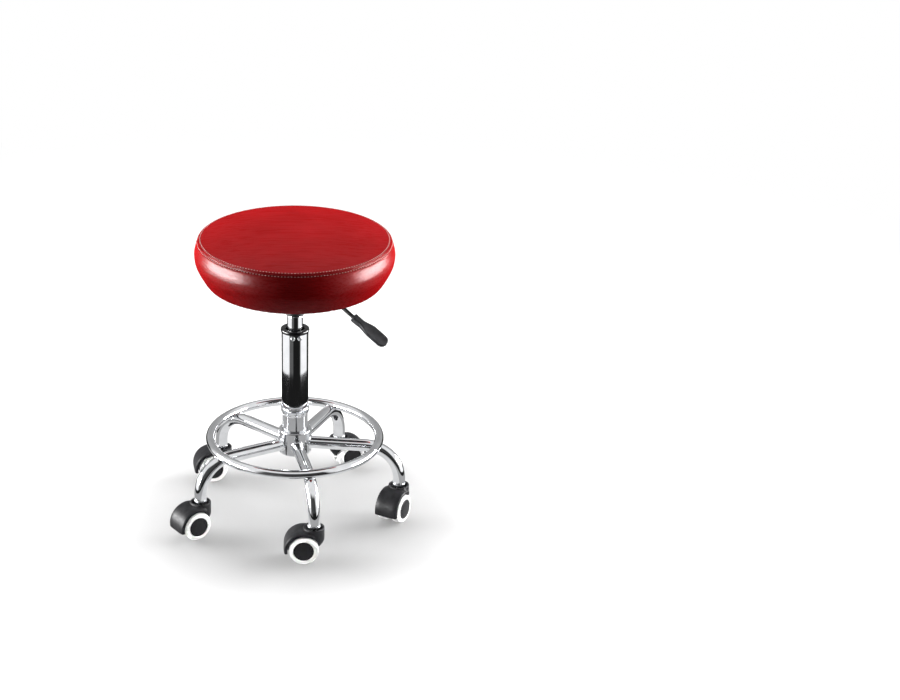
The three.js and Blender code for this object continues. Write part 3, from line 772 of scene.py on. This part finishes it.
def cushion_skin(cushion):
    """The finished skin as rings of points, and the outward direction at each point."""
    points, seam = cushion.outline(FINE_STEP, 2.6)
    distance = distance_from_seam(points, seam)
    circle = unit_circle(CUSHION_SIDES)

    smooth = outline_normals(points)
    for _ in range(3):
        smooth[1:-1] = normalised(smooth[:-2] + smooth[1:-1] + smooth[2:])
    outward = np.empty((len(points), CUSHION_SIDES, 3))
    outward[..., :2] = smooth[:, None, :1] * circle[None]
    outward[..., 2] = smooth[:, None, 1]

    rings = np.empty_like(outward)
    rings[..., :2] = points[:, None, :1] * circle[None]
    rings[..., 2] = points[:, None, 1]
    inset = swell_room(cushion, points, distance)[:, None, None]
    start = rings - outward * inset
    places, moves = simulated_swelling(cushion)
    spread = spread_onto(start.reshape(-1, 3), places, moves).reshape(rings.shape)
    lift = (spread * outward).sum(axis=2, keepdims=True) - inset
    rings += outward * SWELL_SHOWN * np.tanh(np.maximum(lift, 0) / SWELL_SHOWN)
    rings += outward * sewn_relief(distance)[:, None, None]
    rings[:, 1::2] += outward[:, 1::2] * needle_holes(distance)[:, None, None]
    for i, gap in enumerate(distance):
        for j, angle in enumerate(angles_round(CUSHION_SIDES)):
            if WRINKLED[0] < gap < WRINKLED[1]:
                rings[i, j] += outward[i, j] * wrinkle(rings[i, j], gap)
            elif GATHERED[0] < gap <= GATHERED[1]:
                rings[i, j] += outward[i, j] * pleat(angle, gap)
    rings[[0, -1]] = rings[[0, -1]].mean(axis=1, keepdims=True)
    return rings, outward, distance


def capsule(sides=6):
    """A stitch of unit size along X: one half length long each way, and round."""
    stations = [(-1, 0), (-0.92, 0.55), (-0.6, 0.92), (0, 1.0), (0.6, 0.92), (0.92, 0.55), (1, 0)]
    circle = unit_circle(sides)
    return lofted([np.column_stack([np.full(sides, x), radius * circle]) for x, radius in stations])


def stitch_row(rings, outward, distance, row):
    """Stitches laid end to end in the groove of one row."""
    nearest = int(np.argmin(np.abs(distance - row)))
    ring = rings[nearest]
    out = outward[nearest]
    unit, faces = capsule()
    shapes = []
    for i in range(0, CUSHION_SIDES, 2):
        along = normalised(ring[i + 1] - ring[i - 1])
        up = out[i]
        across = np.cross(up, along)
        axes = np.stack([along * STITCH_HALF_LENGTH, across * STITCH_RADIUS, up * STITCH_RADIUS])
        shapes.append((unit @ axes + ring[i] + up * STITCH_LIFT, faces))
    return joined(shapes)


def staple_ring(radius, height):
    """Staples round the edge of the lining, each a flat crown with two legs up into the board."""
    shapes = []
    for i in range(STAPLE_COUNT):
        angle = 2 * math.pi * i / STAPLE_COUNT + 0.02 * math.sin(7 * i)
        matrix = turn_z(angle) @ shift(radius + 0.8 * math.sin(3.7 * i), 0, height)
        matrix = matrix @ turn_z(math.radians(80 + 12 * math.sin(2.3 * i)))
        path = [(-5, 0, 3), (-5, 0, 0.5), (-4.7, 0, 0), (4.7, 0, 0), (5, 0, 0.5), (5, 0, 3)]
        shapes.append(placed(lofted(round_rings(path, 0.4, (0, 1, 0), 6)), matrix))
    return joined(shapes)


def add_cushion():
    cushion = Cushion()
    rings, outward, distance = cushion_skin(cushion)
    skin = add_shape("cushion_skin", lofted(rings), "leather", "seat", ["seat_cover"], sharp=60)
    for row, name in zip(STITCH_ROWS, ("side_stitches", "top_stitches")):
        add_shape(name, stitch_row(rings, outward, distance, row), "leather:thread", "seat")

    low, high = span("dust_cover")
    lining = lathe([
        (0, low.z, 0), (high.y - 2.5, low.z, 0.4), (high.y, low.z + 0.5, 0.4),
        (high.y, high.z, 0.3), (0, high.z, 0),
    ], 160)
    lining_sheet = add_shape("lining_sheet", lining, "lining", "seat", ["dust_cover"])
    add_shape("lining_staples", staple_ring(high.y - 4, low.z - 0.25), "steel", "seat")


# Seat plate and lever

def add_seat_plate():
    plate = bevelled_copy("seat_plate", 0.5)
    add_piece("seat_bracket", plate, "black_steel", "seat", ["seat_plate"])
    for i in range(1, 5):
        bolt = f"seat_bolt_{i}"
        add_piece(f"{bolt}_head", bevelled_copy(bolt, 0.35), "steel", "seat", [bolt])
    low, high = span("taper_socket")
    radius = high.y
    socket = lathe([
        (13.9, low.z, 0.4), (radius - 1.8, low.z, 0.5), (radius, low.z + 1.8, 0.6),
        (radius, high.z - 2.4, 0.8), (radius + 1.5, high.z - 1.2, 0.8),
        (radius + 1.5, high.z, 0.3), (12.9, high.z, 0.3),
    ])
    add_shape("lift_socket", socket, "black_steel", "seat", ["taper_socket"])


def lever_path(pivot_height, steps=12):
    """The rod's centre line in the lever's own XZ plane, and its end."""
    x, z = LEVER_ROD_START + LEVER_STRAIGHT, pivot_height
    path = [(LEVER_ROD_START - 4, 0, z), (x, 0, z)]
    for angle in np.linspace(0, LEVER_DROOP, steps + 1)[1:]:
        path.append((x + LEVER_BEND * math.sin(angle), 0, z - LEVER_BEND * (1 - math.cos(angle))))
    bx, _, bz = path[-1]
    end = (bx + LEVER_TAIL * math.cos(LEVER_DROOP), 0, bz - LEVER_TAIL * math.sin(LEVER_DROOP))
    return [*path, end], end


def eased(x, start, end):
    t = min(max((x - start) / (end - start), 0), 1)
    return t * t * (3 - 2 * t)


def handle_section(x):
    """The handle cut across at x: a square neck, then a wide flat paddle, flush along its top."""
    widening = eased(x, HANDLE_NECK_END, HANDLE_PADDLE_START)
    half_width = HANDLE_NECK + (HANDLE_HALF_WIDTH - HANDLE_NECK) * widening
    below = HANDLE_NECK - HANDLE_THICKNESS
    thinning = eased(x, HANDLE_NECK_END / 2, HANDLE_PADDLE_START)
    bottom = -HANDLE_NECK + (HANDLE_NECK + below) * thinning
    to_tip = max(0, x - (HANDLE_LENGTH - HANDLE_HALF_WIDTH))
    half_width *= math.sqrt(max(0, 1 - (to_tip / HANDLE_HALF_WIDTH) ** 2.2))
    edge = 2.4 - widening
    outline = rounded([
        (-half_width, bottom, edge), (half_width, bottom, edge), (half_width, HANDLE_NECK, edge),
        (-half_width, HANDLE_NECK, edge),
    ], 5)
    corner = 3 * (len(outline) // 2) // 2
    across = np.linspace(outline[corner - 1], outline[corner], 9)[1:-1]
    dish = 0.9 * eased(x, 24, 34) * (1 - eased(x, HANDLE_LENGTH - 9, HANDLE_LENGTH - 2))
    across[:, 1] -= dish * np.sin(np.linspace(0, math.pi, 9)[1:-1])
    points = [*outline[:corner], *across, *outline[corner:]]
    return np.array([(x, y, z) for y, z in points])


def lever_handle_shape(rod_end):
    along = np.arange(1, HANDLE_LENGTH - 12, 2)
    to_tip = np.linspace(HANDLE_LENGTH - 11, HANDLE_LENGTH - 0.1, 16)
    sections = [handle_section(x) for x in (*along, *to_tip)]
    mouth = sections[0].copy()
    mouth[:, 0] = 0
    mouth[:, 1:] *= 0.88
    hole = mouth.copy()
    hole[:, 1:] *= (LEVER_RADIUS + 0.3) / HANDLE_NECK
    inside = hole + (4, 0, 0)
    closed = inside * (1, 0, 0)
    tip = np.tile(sections[-1].mean(axis=0), (len(mouth), 1))
    shape = lofted([closed, inside, hole, mouth, *sections, tip])
    droop = Matrix.Rotation(LEVER_DROOP, 4, "Y") @ Matrix.Rotation(HANDLE_TWIST, 4, "X")
    return placed(shape, shift(*rod_end) @ droop @ shift(-HANDLE_OVERLAP, 0, 0))


def add_lever():
    pin = middle("lever_pivot_pin")
    turn = turn_z(LEVER_AZIMUTH)
    path, end = lever_path(pin.z)
    tongue = block(-5, 32, -4, 4, pin.z - 4, pin.z + 4)
    bar = placed(joined([rod_shape(path, LEVER_RADIUS), tongue]), turn)
    add_shape("lever_bar", bar, "black_steel", "lever", ["lever_rod"])
    grip = placed(lever_handle_shape(end), turn)
    add_shape("lever_grip", grip, "grey_nylon", "lever", ["lever_handle"], sharp=50)
    pivot = bevelled_copy("lever_pivot_pin", 0.3)
    add_piece("lever_pivot", pivot, "steel", "seat", ["lever_pivot_pin"])


def rod_shape(path, radius, sides=24):
    """A round rod with flat ends."""
    rings = round_rings(path, radius, (0, 1, 0), sides)
    first = np.tile(path[0], (sides, 1))
    last = np.tile(path[-1], (sides, 1))
    return lofted([first, *rings, last])


# Column and hub

def add_gas_cylinder():
    low, high = span("gas_cylinder")
    radius = high.y
    taper = span("taper_socket")[0].z + 0.5
    cylinder = lathe([
        (11.3, low.z, 0.5), (radius, low.z, 1.0), (radius, taper - 1.5, 0.4),
        (radius - 0.4, taper, 0.3), (radius - 1.4, high.z, 0.8), (3.8, high.z, 0.3),
        (3.8, high.z - 8, 0), (11.3, high.z - 8, 0),
    ], 128)
    add_shape("lift_cylinder", cylinder, "chrome", "seat", ["gas_cylinder"])


def add_column():
    low, high = span("column_tube")
    radius = high.y
    step = span("hub_tube")[1].z + 0.3
    tube = lathe([
        (5.6, low.z, 0.3), (20.1, low.z, 1.0), (20.1, step, 0), (radius - 0.2, step, 0.9),
        (radius, step + 1.2, 1.2), (radius, high.z, 0.6), (21, high.z, 0.4), (21, step + 5, 0),
        (17.8, step + 3, 0), (17.8, low.z + 3, 0), (5.6, low.z + 3, 0),
    ], 128)
    add_shape("column_outer_tube", tube, "chrome", "base", ["column_tube"])

    low, high = span("column_cap")
    skirt = span("column_tube")[1].z - 2
    cap = lathe([
        (16.6, low.z, 0.4), (20.7, low.z, 0.4), (20.7, skirt + 2.3, 0), (24.3, skirt + 2.3, 0),
        (24.3, skirt, 0.2), (high.y - 0.4, skirt, 0.4), (high.y, skirt + 2, 0.8),
        (high.y, high.z - 0.2, 3.0), (17.4, high.z, 1.4), (16.6, high.z - 1.6, 0.8),
    ], 128)
    add_shape("column_top_ring", cap, "black_nylon:glossy", "base", ["column_cap"])


def add_guide_screws():
    """Pan-head screws with a round recess, pointing out from the column."""
    outer = 24.3
    screw = lathe([
        (0, 18, 0), (1.6, 18, 0.2), (1.6, outer, 0), (3.7, outer, 0.2), (3.8, outer + 1.0, 0.6),
        (3.0, outer + 2.0, 0.6), (1.9, outer + 1.9, 0.2), (1.7, outer + 0.7, 0.1),
        (0, outer + 0.5, 0),
    ], 36)
    point_out = Matrix.Rotation(math.pi / 2, 4, "Y")
    for i in (1, 2):
        node = f"guide_screw_{i}"
        centre = middle(node)
        matrix = shift(0, 0, centre.z) @ turn_z(math.atan2(centre.y, centre.x)) @ point_out
        add_shape(f"column_screw_{i}", placed(screw, matrix), "steel", "base", [node])


def add_hub():
    low, high = span("hub_tube")
    rim = high.y
    tube_radius = 22.7
    hub = lathe([
        (20.4, low.z, 0.4), (tube_radius, low.z, 0.6), (tube_radius, high.z - 14, 2.0),
        (rim, high.z - 10.5, 2.4), (rim, high.z, 3.2), (20.4, high.z, 0.5),
    ], 128)
    add_shape("hub_lower_tube", hub, "chrome", "base", ["hub_tube"])
    low, high = span("hub_sleeve")
    radius = high.y
    sleeve = lathe([
        (23, low.z, 0.4), (radius, low.z, 1.2), (radius, high.z, 1.8), (23, high.z, 0.4),
    ], 128)
    add_shape("hub_weld_sleeve", sleeve, "chrome", "base", ["hub_sleeve"])


def leg_centre_line(height, end):
    """A leg's centre line along its own +X, and the height of each point."""
    bend_start = CASTER_CIRCLE - LEG_BEND
    path = [(x, 0, height) for x in LEG_STRAIGHT]
    for angle in np.linspace(0, math.pi / 2, 33):
        x = bend_start + LEG_BEND * math.sin(angle)
        path.append((x, 0, height - LEG_BEND * (1 - math.cos(angle))))
    path += [(CASTER_CIRCLE, 0, end + 3), (CASTER_CIRCLE, 0, end + 1.2), (CASTER_CIRCLE, 0, end)]
    return np.array(path)


def leg_shape(path):
    sides = 64
    outside = round_rings(path, LEG_RADIUS, (0, 1, 0), sides)
    inside = round_rings(path, LEG_BORE, (0, 1, 0), sides)
    lip_radii = (LEG_RADIUS - 0.35, LEG_BORE + 0.3)
    lip = [round_rings(path, radius, (0, 1, 0), sides)[-1] for radius in lip_radii]
    outside[-1] += (0, 0, 0.35)
    inside[-1] += (0, 0, 0.3)
    return lofted([*outside, *lip, *inside[::-1]], closed=True)


def sleeve_weld(height, sleeve_radius):
    """The bead where a leg meets the hub sleeve."""
    y, z = LEG_RADIUS * unit_circle(72).T
    return bead(np.column_stack([np.sqrt(sleeve_radius ** 2 - y ** 2), y, height + z]), 1.5)


def ring_weld(path, ring_radius, ring_tube, ring_height):
    """The bead where a leg meets the underside of the foot ring, found by walking along the leg."""
    inner, outer = [], []
    station = np.linspace(0, len(path) - 1, 400)
    numbers = np.arange(len(path))
    dense = np.column_stack([np.interp(station, numbers, path[:, k]) for k in range(3)])
    skin = round_rings(dense, LEG_RADIUS, (0, 1, 0), 120)
    for line in skin.swapaxes(0, 1):
        from_ring = np.hypot(line[:, 0], line[:, 1]) - ring_radius
        gap = np.hypot(from_ring, line[:, 2] - ring_height) - ring_tube
        crossed = np.flatnonzero(np.diff(np.sign(gap)) != 0)
        if len(crossed) == 2:
            first, last = sorted(crossed, key=lambda i: line[i, 0])
            inner.append(line[first])
            outer.append(line[last])
    inner.sort(key=lambda point: point[1])
    outer.sort(key=lambda point: -point[1])
    return bead(inner + outer, 1.3)


def add_base():
    ring_low, ring_high = span("foot_ring")
    ring_tube = (ring_high.z - ring_low.z) / 2
    ring_height = (ring_high.z + ring_low.z) / 2
    ring_radius = ring_high.y - FOOT_RING_TUBE
    section = arc(ring_radius, ring_height, FOOT_RING_TUBE, 0, 360, 40)[:-1]
    add_shape("foot_rest_ring", turned(section, 192), "chrome", "base", ["foot_ring"])

    sleeve = span("hub_sleeve")[1].y
    path = leg_centre_line(LEG_HEIGHT, span("leg_1")[0].z)
    shape = joined([
        leg_shape(path),
        sleeve_weld(LEG_HEIGHT, sleeve),
        ring_weld(path, ring_radius, ring_tube, ring_height),
    ])
    for i in LEG_NUMBERS:
        stem = middle(f"caster_stem_{i}")
        turn = turn_z(math.atan2(stem.y, stem.x))
        add_shape(f"leg_tube_{i}", placed(shape, turn), "chrome", "base", [f"leg_{i}"])


# Casters

def stem_mesh():
    low, high = span("caster_stem_1")
    stem = lathe([
        (0, low.z, 0), (4.2, low.z, 0.6), (4.2, 59.8, 0), (6.5, 59.8, 0.4), (8, 64, 0),
        (11.4, 64, 0.7), (11.4, 67.8, 0.9), (8.3, 67.8, 0), (8.3, 78, 0), (5.3, high.z, 0.8),
        (0, high.z, 0),
    ], 64)
    return mesh_from("caster_pin", stem)


def tread_mesh():
    profile = lathe([
        (18.2, 6.5, 0.4), (AXLE_HEIGHT, 6.5, 2.6), (AXLE_HEIGHT, 22.0, 3.0), (18.8, 22.9, 0.8),
        (17.4, 21.4, 0.3),
    ], 96)
    return mesh_from("wheel_tread", profile)


def core_mesh():
    profile = lathe([
        (0, 19.4, 0), (3.3, 19.4, 0), (3.3, 6.9, 0.2), (18.1, 6.9, 0.4), (18.1, 20.2, 0),
        (17.3, 21.2, 0), (18.0, 22.9, 0.5), (16.9, 23.5, 0.6), (15.6, 23.3, 0.5), (10, 24.1, 4),
        (0, 24.5, 0),
    ], 96)
    return mesh_from("wheel_core", profile)


def solid_object(shape):
    return add_object("solid_holder", mesh_from("solid_holder", shape))


def combine(base, operation, tools):
    """Joins shapes to an object, or cuts them from it."""
    others = [solid_object(tool) for tool in tools]
    for other in others:
        add_modifier(base, "BOOLEAN", operation=operation, solver="MANIFOLD", object=other)
    result = add_object("solid_holder", evaluated_mesh(base))
    for other in others:
        bpy.data.objects.remove(other)
    return result


def hood_mesh():
    """The hood over both wheels: a round-shouldered fender, a web between the wheels, a neck."""
    on_axle = shift(-TRAIL, 0, AXLE_HEIGHT)
    drum = lathe([
        (0, -22, 0), (33.6, -22, 2.0), (35, -15, 8), (35, 15, 8), (33.6, 22, 2.0), (0, 22, 0),
    ], 96)
    fender = [
        *arc(-TRAIL, AXLE_HEIGHT, 38, 190, 62, 28),
        (0, AXLE_HEIGHT),
        *arc(-TRAIL, AXLE_HEIGHT, 8, -30, -150, 8),
    ]
    hood = solid_object(placed(drum, on_axle @ LIE_ALONG_Y))
    hood = combine(hood, "INTERSECT", [extruded(fender, -24, 24)])
    neck = lathe([
        (0, 27, 0), (11, 27, 3), (18.5, 38, 5), (18.5, 63.5, 1.2), (0, 63.5, 0),
    ], 72)
    shoulders = [(-22, 36), (5, 34), (5, 60.5), (-22, 60.5)]
    hood = combine(hood, "UNION", [neck, extruded(shoulders, -17.5, 17.5)])
    well = lathe([(0, 0, 0), (28.3, 0, 1.5), (28.3, 40, 0), (0, 40, 0)], 96)
    turns = [Matrix.Rotation(angle, 4, "X") for angle in WHEEL_TURNS.values()]
    wells = [placed(well, on_axle @ turn @ shift(0, 0, 6)) for turn in turns]
    recess = lathe([(0, 55.5, 0), (15.0, 55.5, 1.2), (16.2, 70, 0), (0, 70, 0)], 72)
    bore = cylinder(4.5, 34.7, 66, 40)
    axle_hole = placed(cylinder(3.3, -30, 30, 40), on_axle @ LIE_ALONG_Y)
    hood = combine(hood, "DIFFERENCE", [*wells, recess, bore, axle_hole])
    add_modifier(hood, "REMESH", mode="VOXEL", voxel_size=0.6 * MM)
    add_modifier(hood, "SMOOTH", factor=0.5, iterations=5)
    add_modifier(hood, "DECIMATE", ratio=0.3)
    mesh = evaluated_mesh(hood)
    mesh.name = "caster_fender"
    mesh.materials.clear()
    mesh.shade_smooth()
    mesh.set_sharp_from_angle(angle=math.radians(50))
    return mesh


def add_casters():
    stem, hood, tread, core = stem_mesh(), hood_mesh(), tread_mesh(), core_mesh()
    axle = mesh_from("axle_rod", cylinder(3, -19, 19, 32, fillet=0.5))
    for i in LEG_NUMBERS:
        pin = middle(f"caster_stem_{i}")
        hub = middle(f"caster_axle_{i}")
        heading = math.atan2(pin.y - hub.y, pin.x - hub.x)
        caster = Matrix.Translation((pin.x * MM, pin.y * MM, 0)) @ turn_z(heading)
        on_axle = caster @ Matrix.Translation((-TRAIL * MM, 0, AXLE_HEIGHT * MM))
        across = on_axle @ LIE_ALONG_Y
        add_piece(f"stem_pin_{i}", stem, "steel", "base", [f"caster_stem_{i}"], caster)
        add_piece(f"fender_{i}", hood, "black_nylon", f"caster_{i}", [f"caster_hood_{i}"], caster)
        add_piece(f"axle_{i}", axle, "steel", f"caster_{i}", [f"caster_axle_{i}"], across)
        for side, angle in WHEEL_TURNS.items():
            wheel = on_axle @ Matrix.Rotation(angle, 4, "X")
            body = f"wheel_{i}_{side}"
            add_piece(f"tread_{i}_{side}", tread, "tread", body, [body], wheel)
            add_piece(f"wheel_core_{i}_{side}", core, "black_nylon:cap", body, [], wheel)


# Studio

CAMERA_DISTANCE = 4.0
CAMERA_ELEVATION = math.radians(23.82)
CAMERA_TURN = math.radians(3.945)
CAMERA_AIM_HEIGHT = 0.31787
CAMERA_LENS = 89.89

# Glowing bands, a painted reflection of the floor for the chrome: name, brightness, inner and
# outer radius in metres.
PAINTED_FLOOR_REFLECTION = [
    ("lit_floor", 0.75, 0.0, 0.27),
    ("grey_floor", 0.42, 0.27, 0.44),
    ("dark_floor", 0.012, 0.44, 0.64),
]


def add_camera():
    camera = add_object("camera", bpy.data.cameras.new("camera"))
    camera.data.sensor_width = 36
    camera.data.lens = CAMERA_LENS
    back = CAMERA_DISTANCE * math.cos(CAMERA_ELEVATION)
    up = CAMERA_DISTANCE * math.sin(CAMERA_ELEVATION)
    place = Matrix.Translation((0, -back, CAMERA_AIM_HEIGHT + up))
    tilt = Matrix.Rotation(math.pi / 2 - CAMERA_ELEVATION, 4, "X")
    camera.matrix_world = place @ tilt @ Matrix.Rotation(-CAMERA_TURN, 4, "Y")
    bpy.context.scene.camera = camera


def add_staged(name, shape, material):
    """A piece of the studio, with its shape in metres."""
    mesh = mesh_from(name, shape, scale=1)
    mesh.materials.append(material)
    made = add_object(name, mesh)
    return made


def add_floor():
    half = FLOOR_SIZE / 2
    corners = np.array([(-half, -half, 0), (half, -half, 0), (half, half, 0), (-half, half, 0)])
    floor = add_staged("floor", (corners, [(0, 1, 2, 3)]), floor_finish())
    hide_from(floor, "diffuse", "glossy", "transmission", "shadow")


def add_painted_floor_reflection():
    """Glowing bands below the floor, a painted reflection of it for the chrome: bright under the
    stool with a dark ring round that, kept out of every other kind of light."""
    for name, brightness, inner, outer in PAINTED_FLOOR_REFLECTION:
        material = bpy.data.materials.new(name)
        tree = emptied_tree(material)
        # Each band glows at its own brightness, so the chrome shows a painted reflection of the
        # floor.
        emission = add_node(tree, "ShaderNodeEmission", {"Strength": brightness}).outputs[0]
        add_node(tree, "ShaderNodeOutputMaterial", {"Surface": emission})
        band = add_staged(name, turned([(inner, 0), (outer, 0)], open_ends=True), material)
        band.location.z = -0.002
        hide_from(band, "camera", "diffuse", "shadow", "transmission")


# Brightness of the studio round the stool, by degrees from the front, to the right.
ROOM_BELOW = [
    (-180, 0.03), (-132, 0.03), (-122, 1.1), (-52, 1.1), (-45, 0.12), (-18, 0.12),
    (-12, 0.012), (42, 0.012), (54, 1.1), (112, 1.1), (124, 0.05), (180, 0.03),
]
ROOM_ABOVE = [
    (-180, 0.36), (-132, 0.45), (-118, 0.9), (-52, 0.9), (-40, 0.08), (38, 0.04),
    (46, 0.9), (112, 0.9), (128, 0.45), (180, 0.36),
]
CEILING = 0.85
ROOM_LIGHT = 0.15


def round_ramp(tree, share, brightness):
    """Brightness by direction, from a list of degrees and values."""
    ramp = add_node(tree, "ShaderNodeValToRGB", {"Fac": share})
    stops = ramp.color_ramp.elements
    while len(stops) > 1:
        stops.remove(stops[-1])
    stops[0].position = 0
    stops[0].color = (brightness[0][1],) * 3 + (1,)
    for degrees, value in brightness[1:]:
        stops.new((degrees + 180) / 360).color = (value, value, value, 1)
    return ramp.outputs["Color"]


def add_room():
    """White walls to either side, a dark gap in front, and a white ceiling. The camera sees plain
    white, and little of the room's light falls on the stool, which the soft boxes light."""
    world = bpy.data.worlds.new("studio")
    bpy.context.scene.world = world
    tree = emptied_tree(world)
    direction = add_node(tree, "ShaderNodeTexCoord").outputs["Generated"]
    parts = add_node(tree, "ShaderNodeSeparateXYZ", {0: direction})
    inputs = {0: parts.outputs["Y"], 1: -1.0}
    towards_front = add_node(tree, "ShaderNodeMath", inputs, operation="MULTIPLY")
    inputs = {0: parts.outputs["X"], 1: towards_front.outputs[0]}
    azimuth = add_node(tree, "ShaderNodeMath", inputs, operation="ARCTAN2").outputs[0]
    inputs = {"Value": azimuth, "From Min": -math.pi, "From Max": math.pi}
    share = add_node(tree, "ShaderNodeMapRange", inputs).outputs["Result"]
    height = parts.outputs["Z"]
    above = ranged(tree, height, 0.0, 1.0, -0.04, 0.04)
    low_walls = round_ramp(tree, share, ROOM_BELOW)
    walls = mixed_colour(tree, above, low_walls, round_ramp(tree, share, ROOM_ABOVE))
    overhead = ranged(tree, height, 0.0, 1.0, 0.62, 0.80)
    room_colour = mixed_colour(tree, overhead, walls, (CEILING, CEILING, CEILING, 1))
    rays = add_node(tree, "ShaderNodeLightPath")
    strength = ranged(tree, rays.outputs["Is Diffuse Ray"], 1.0, ROOM_LIGHT, 0.0, 1.0)
    inputs = {"Color": room_colour, "Strength": strength}
    room = add_node(tree, "ShaderNodeBackground", inputs).outputs[0]
    inputs = {"Color": (1, 1, 1, 1), "Strength": 1.0}
    plain = add_node(tree, "ShaderNodeBackground", inputs).outputs[0]
    seen = rays.outputs["Is Camera Ray"]
    mixed = add_node(tree, "ShaderNodeMixShader", {0: seen, 1: room, 2: plain}).outputs[0]
    add_node(tree, "ShaderNodeOutputWorld", {"Surface": mixed})


# Soft boxes: name, azimuth from the front to the right, elevation, height of the place they
# point at, width, height, radiance, and whether the box lights the matt surfaces or is only the
# sheen on the glossy ones. The sheen boxes stand low, so that the seat's top hardly mirrors them.
SOFT_BOXES = [
    ("left_sheen", -84, 5, 0.25, 1.7, 0.54, 75.0, "glossy"),
    ("right_sheen", 96, 5, 0.25, 1.5, 0.54, 75.0, "glossy"),
    ("left_light", -107, 9, 0.42, 1.6, 1.0, 15.0, "matt"),
    ("right_light", 107, 9, 0.42, 1.6, 1.0, 15.0, "matt"),
    ("back_light", 178, 40, 0.42, 1.6, 1.2, 5.2, "matt"),
]
BOX_DISTANCE = 1.8
WHEEL_LIGHT_DISTANCE = 2.0
WHEEL_LIGHT_RADIANCE = 2.2


def add_area_light(name, place, aim, width, height, radiance):
    light = bpy.data.lights.new(name, "AREA")
    light.shape = "RECTANGLE"
    light.size = width
    light.size_y = height
    light.energy = radiance * math.pi * width * height
    made = add_object(name, light)
    made.location = place
    made.rotation_euler = (place - aim).to_track_quat("Z", "Y").to_euler()
    hide_from(made, "camera")
    return made


def direction_to(azimuth, elevation):
    azimuth, elevation = math.radians(azimuth), math.radians(elevation)
    level = math.cos(elevation)
    return Vector((math.sin(azimuth) * level, -math.cos(azimuth) * level, math.sin(elevation)))


def add_soft_boxes():
    for name, azimuth, elevation, aim_height, width, height, radiance, kind in SOFT_BOXES:
        aim = Vector((0, 0, aim_height))
        place = aim + direction_to(azimuth, elevation) * BOX_DISTANCE
        box = add_area_light(name, place, aim, width, height, radiance)
        hide_from(box, "diffuse" if kind == "glossy" else "glossy")


def add_wheel_light():
    """A low, narrow beam from the front that only reaches the casters."""
    aim = Vector((0, 0, 0.03))
    place = aim + direction_to(8, 2) * WHEEL_LIGHT_DISTANCE
    beam = add_area_light("wheel_light", place, aim, 1.4, 0.12, WHEEL_LIGHT_RADIANCE)
    beam.data.spread = math.radians(16)
    hide_from(beam, "glossy")


def add_studio():
    add_camera()
    add_floor()
    add_painted_floor_reflection()
    add_room()
    add_soft_boxes()
    add_wheel_light()
    bpy.context.scene.view_settings.view_transform = "Standard"


finish_cad_nodes()
add_cushion()
add_seat_plate()
add_lever()
add_gas_cylinder()
add_column()
add_guide_screws()
add_hub()
add_base()
add_casters()
add_studio()
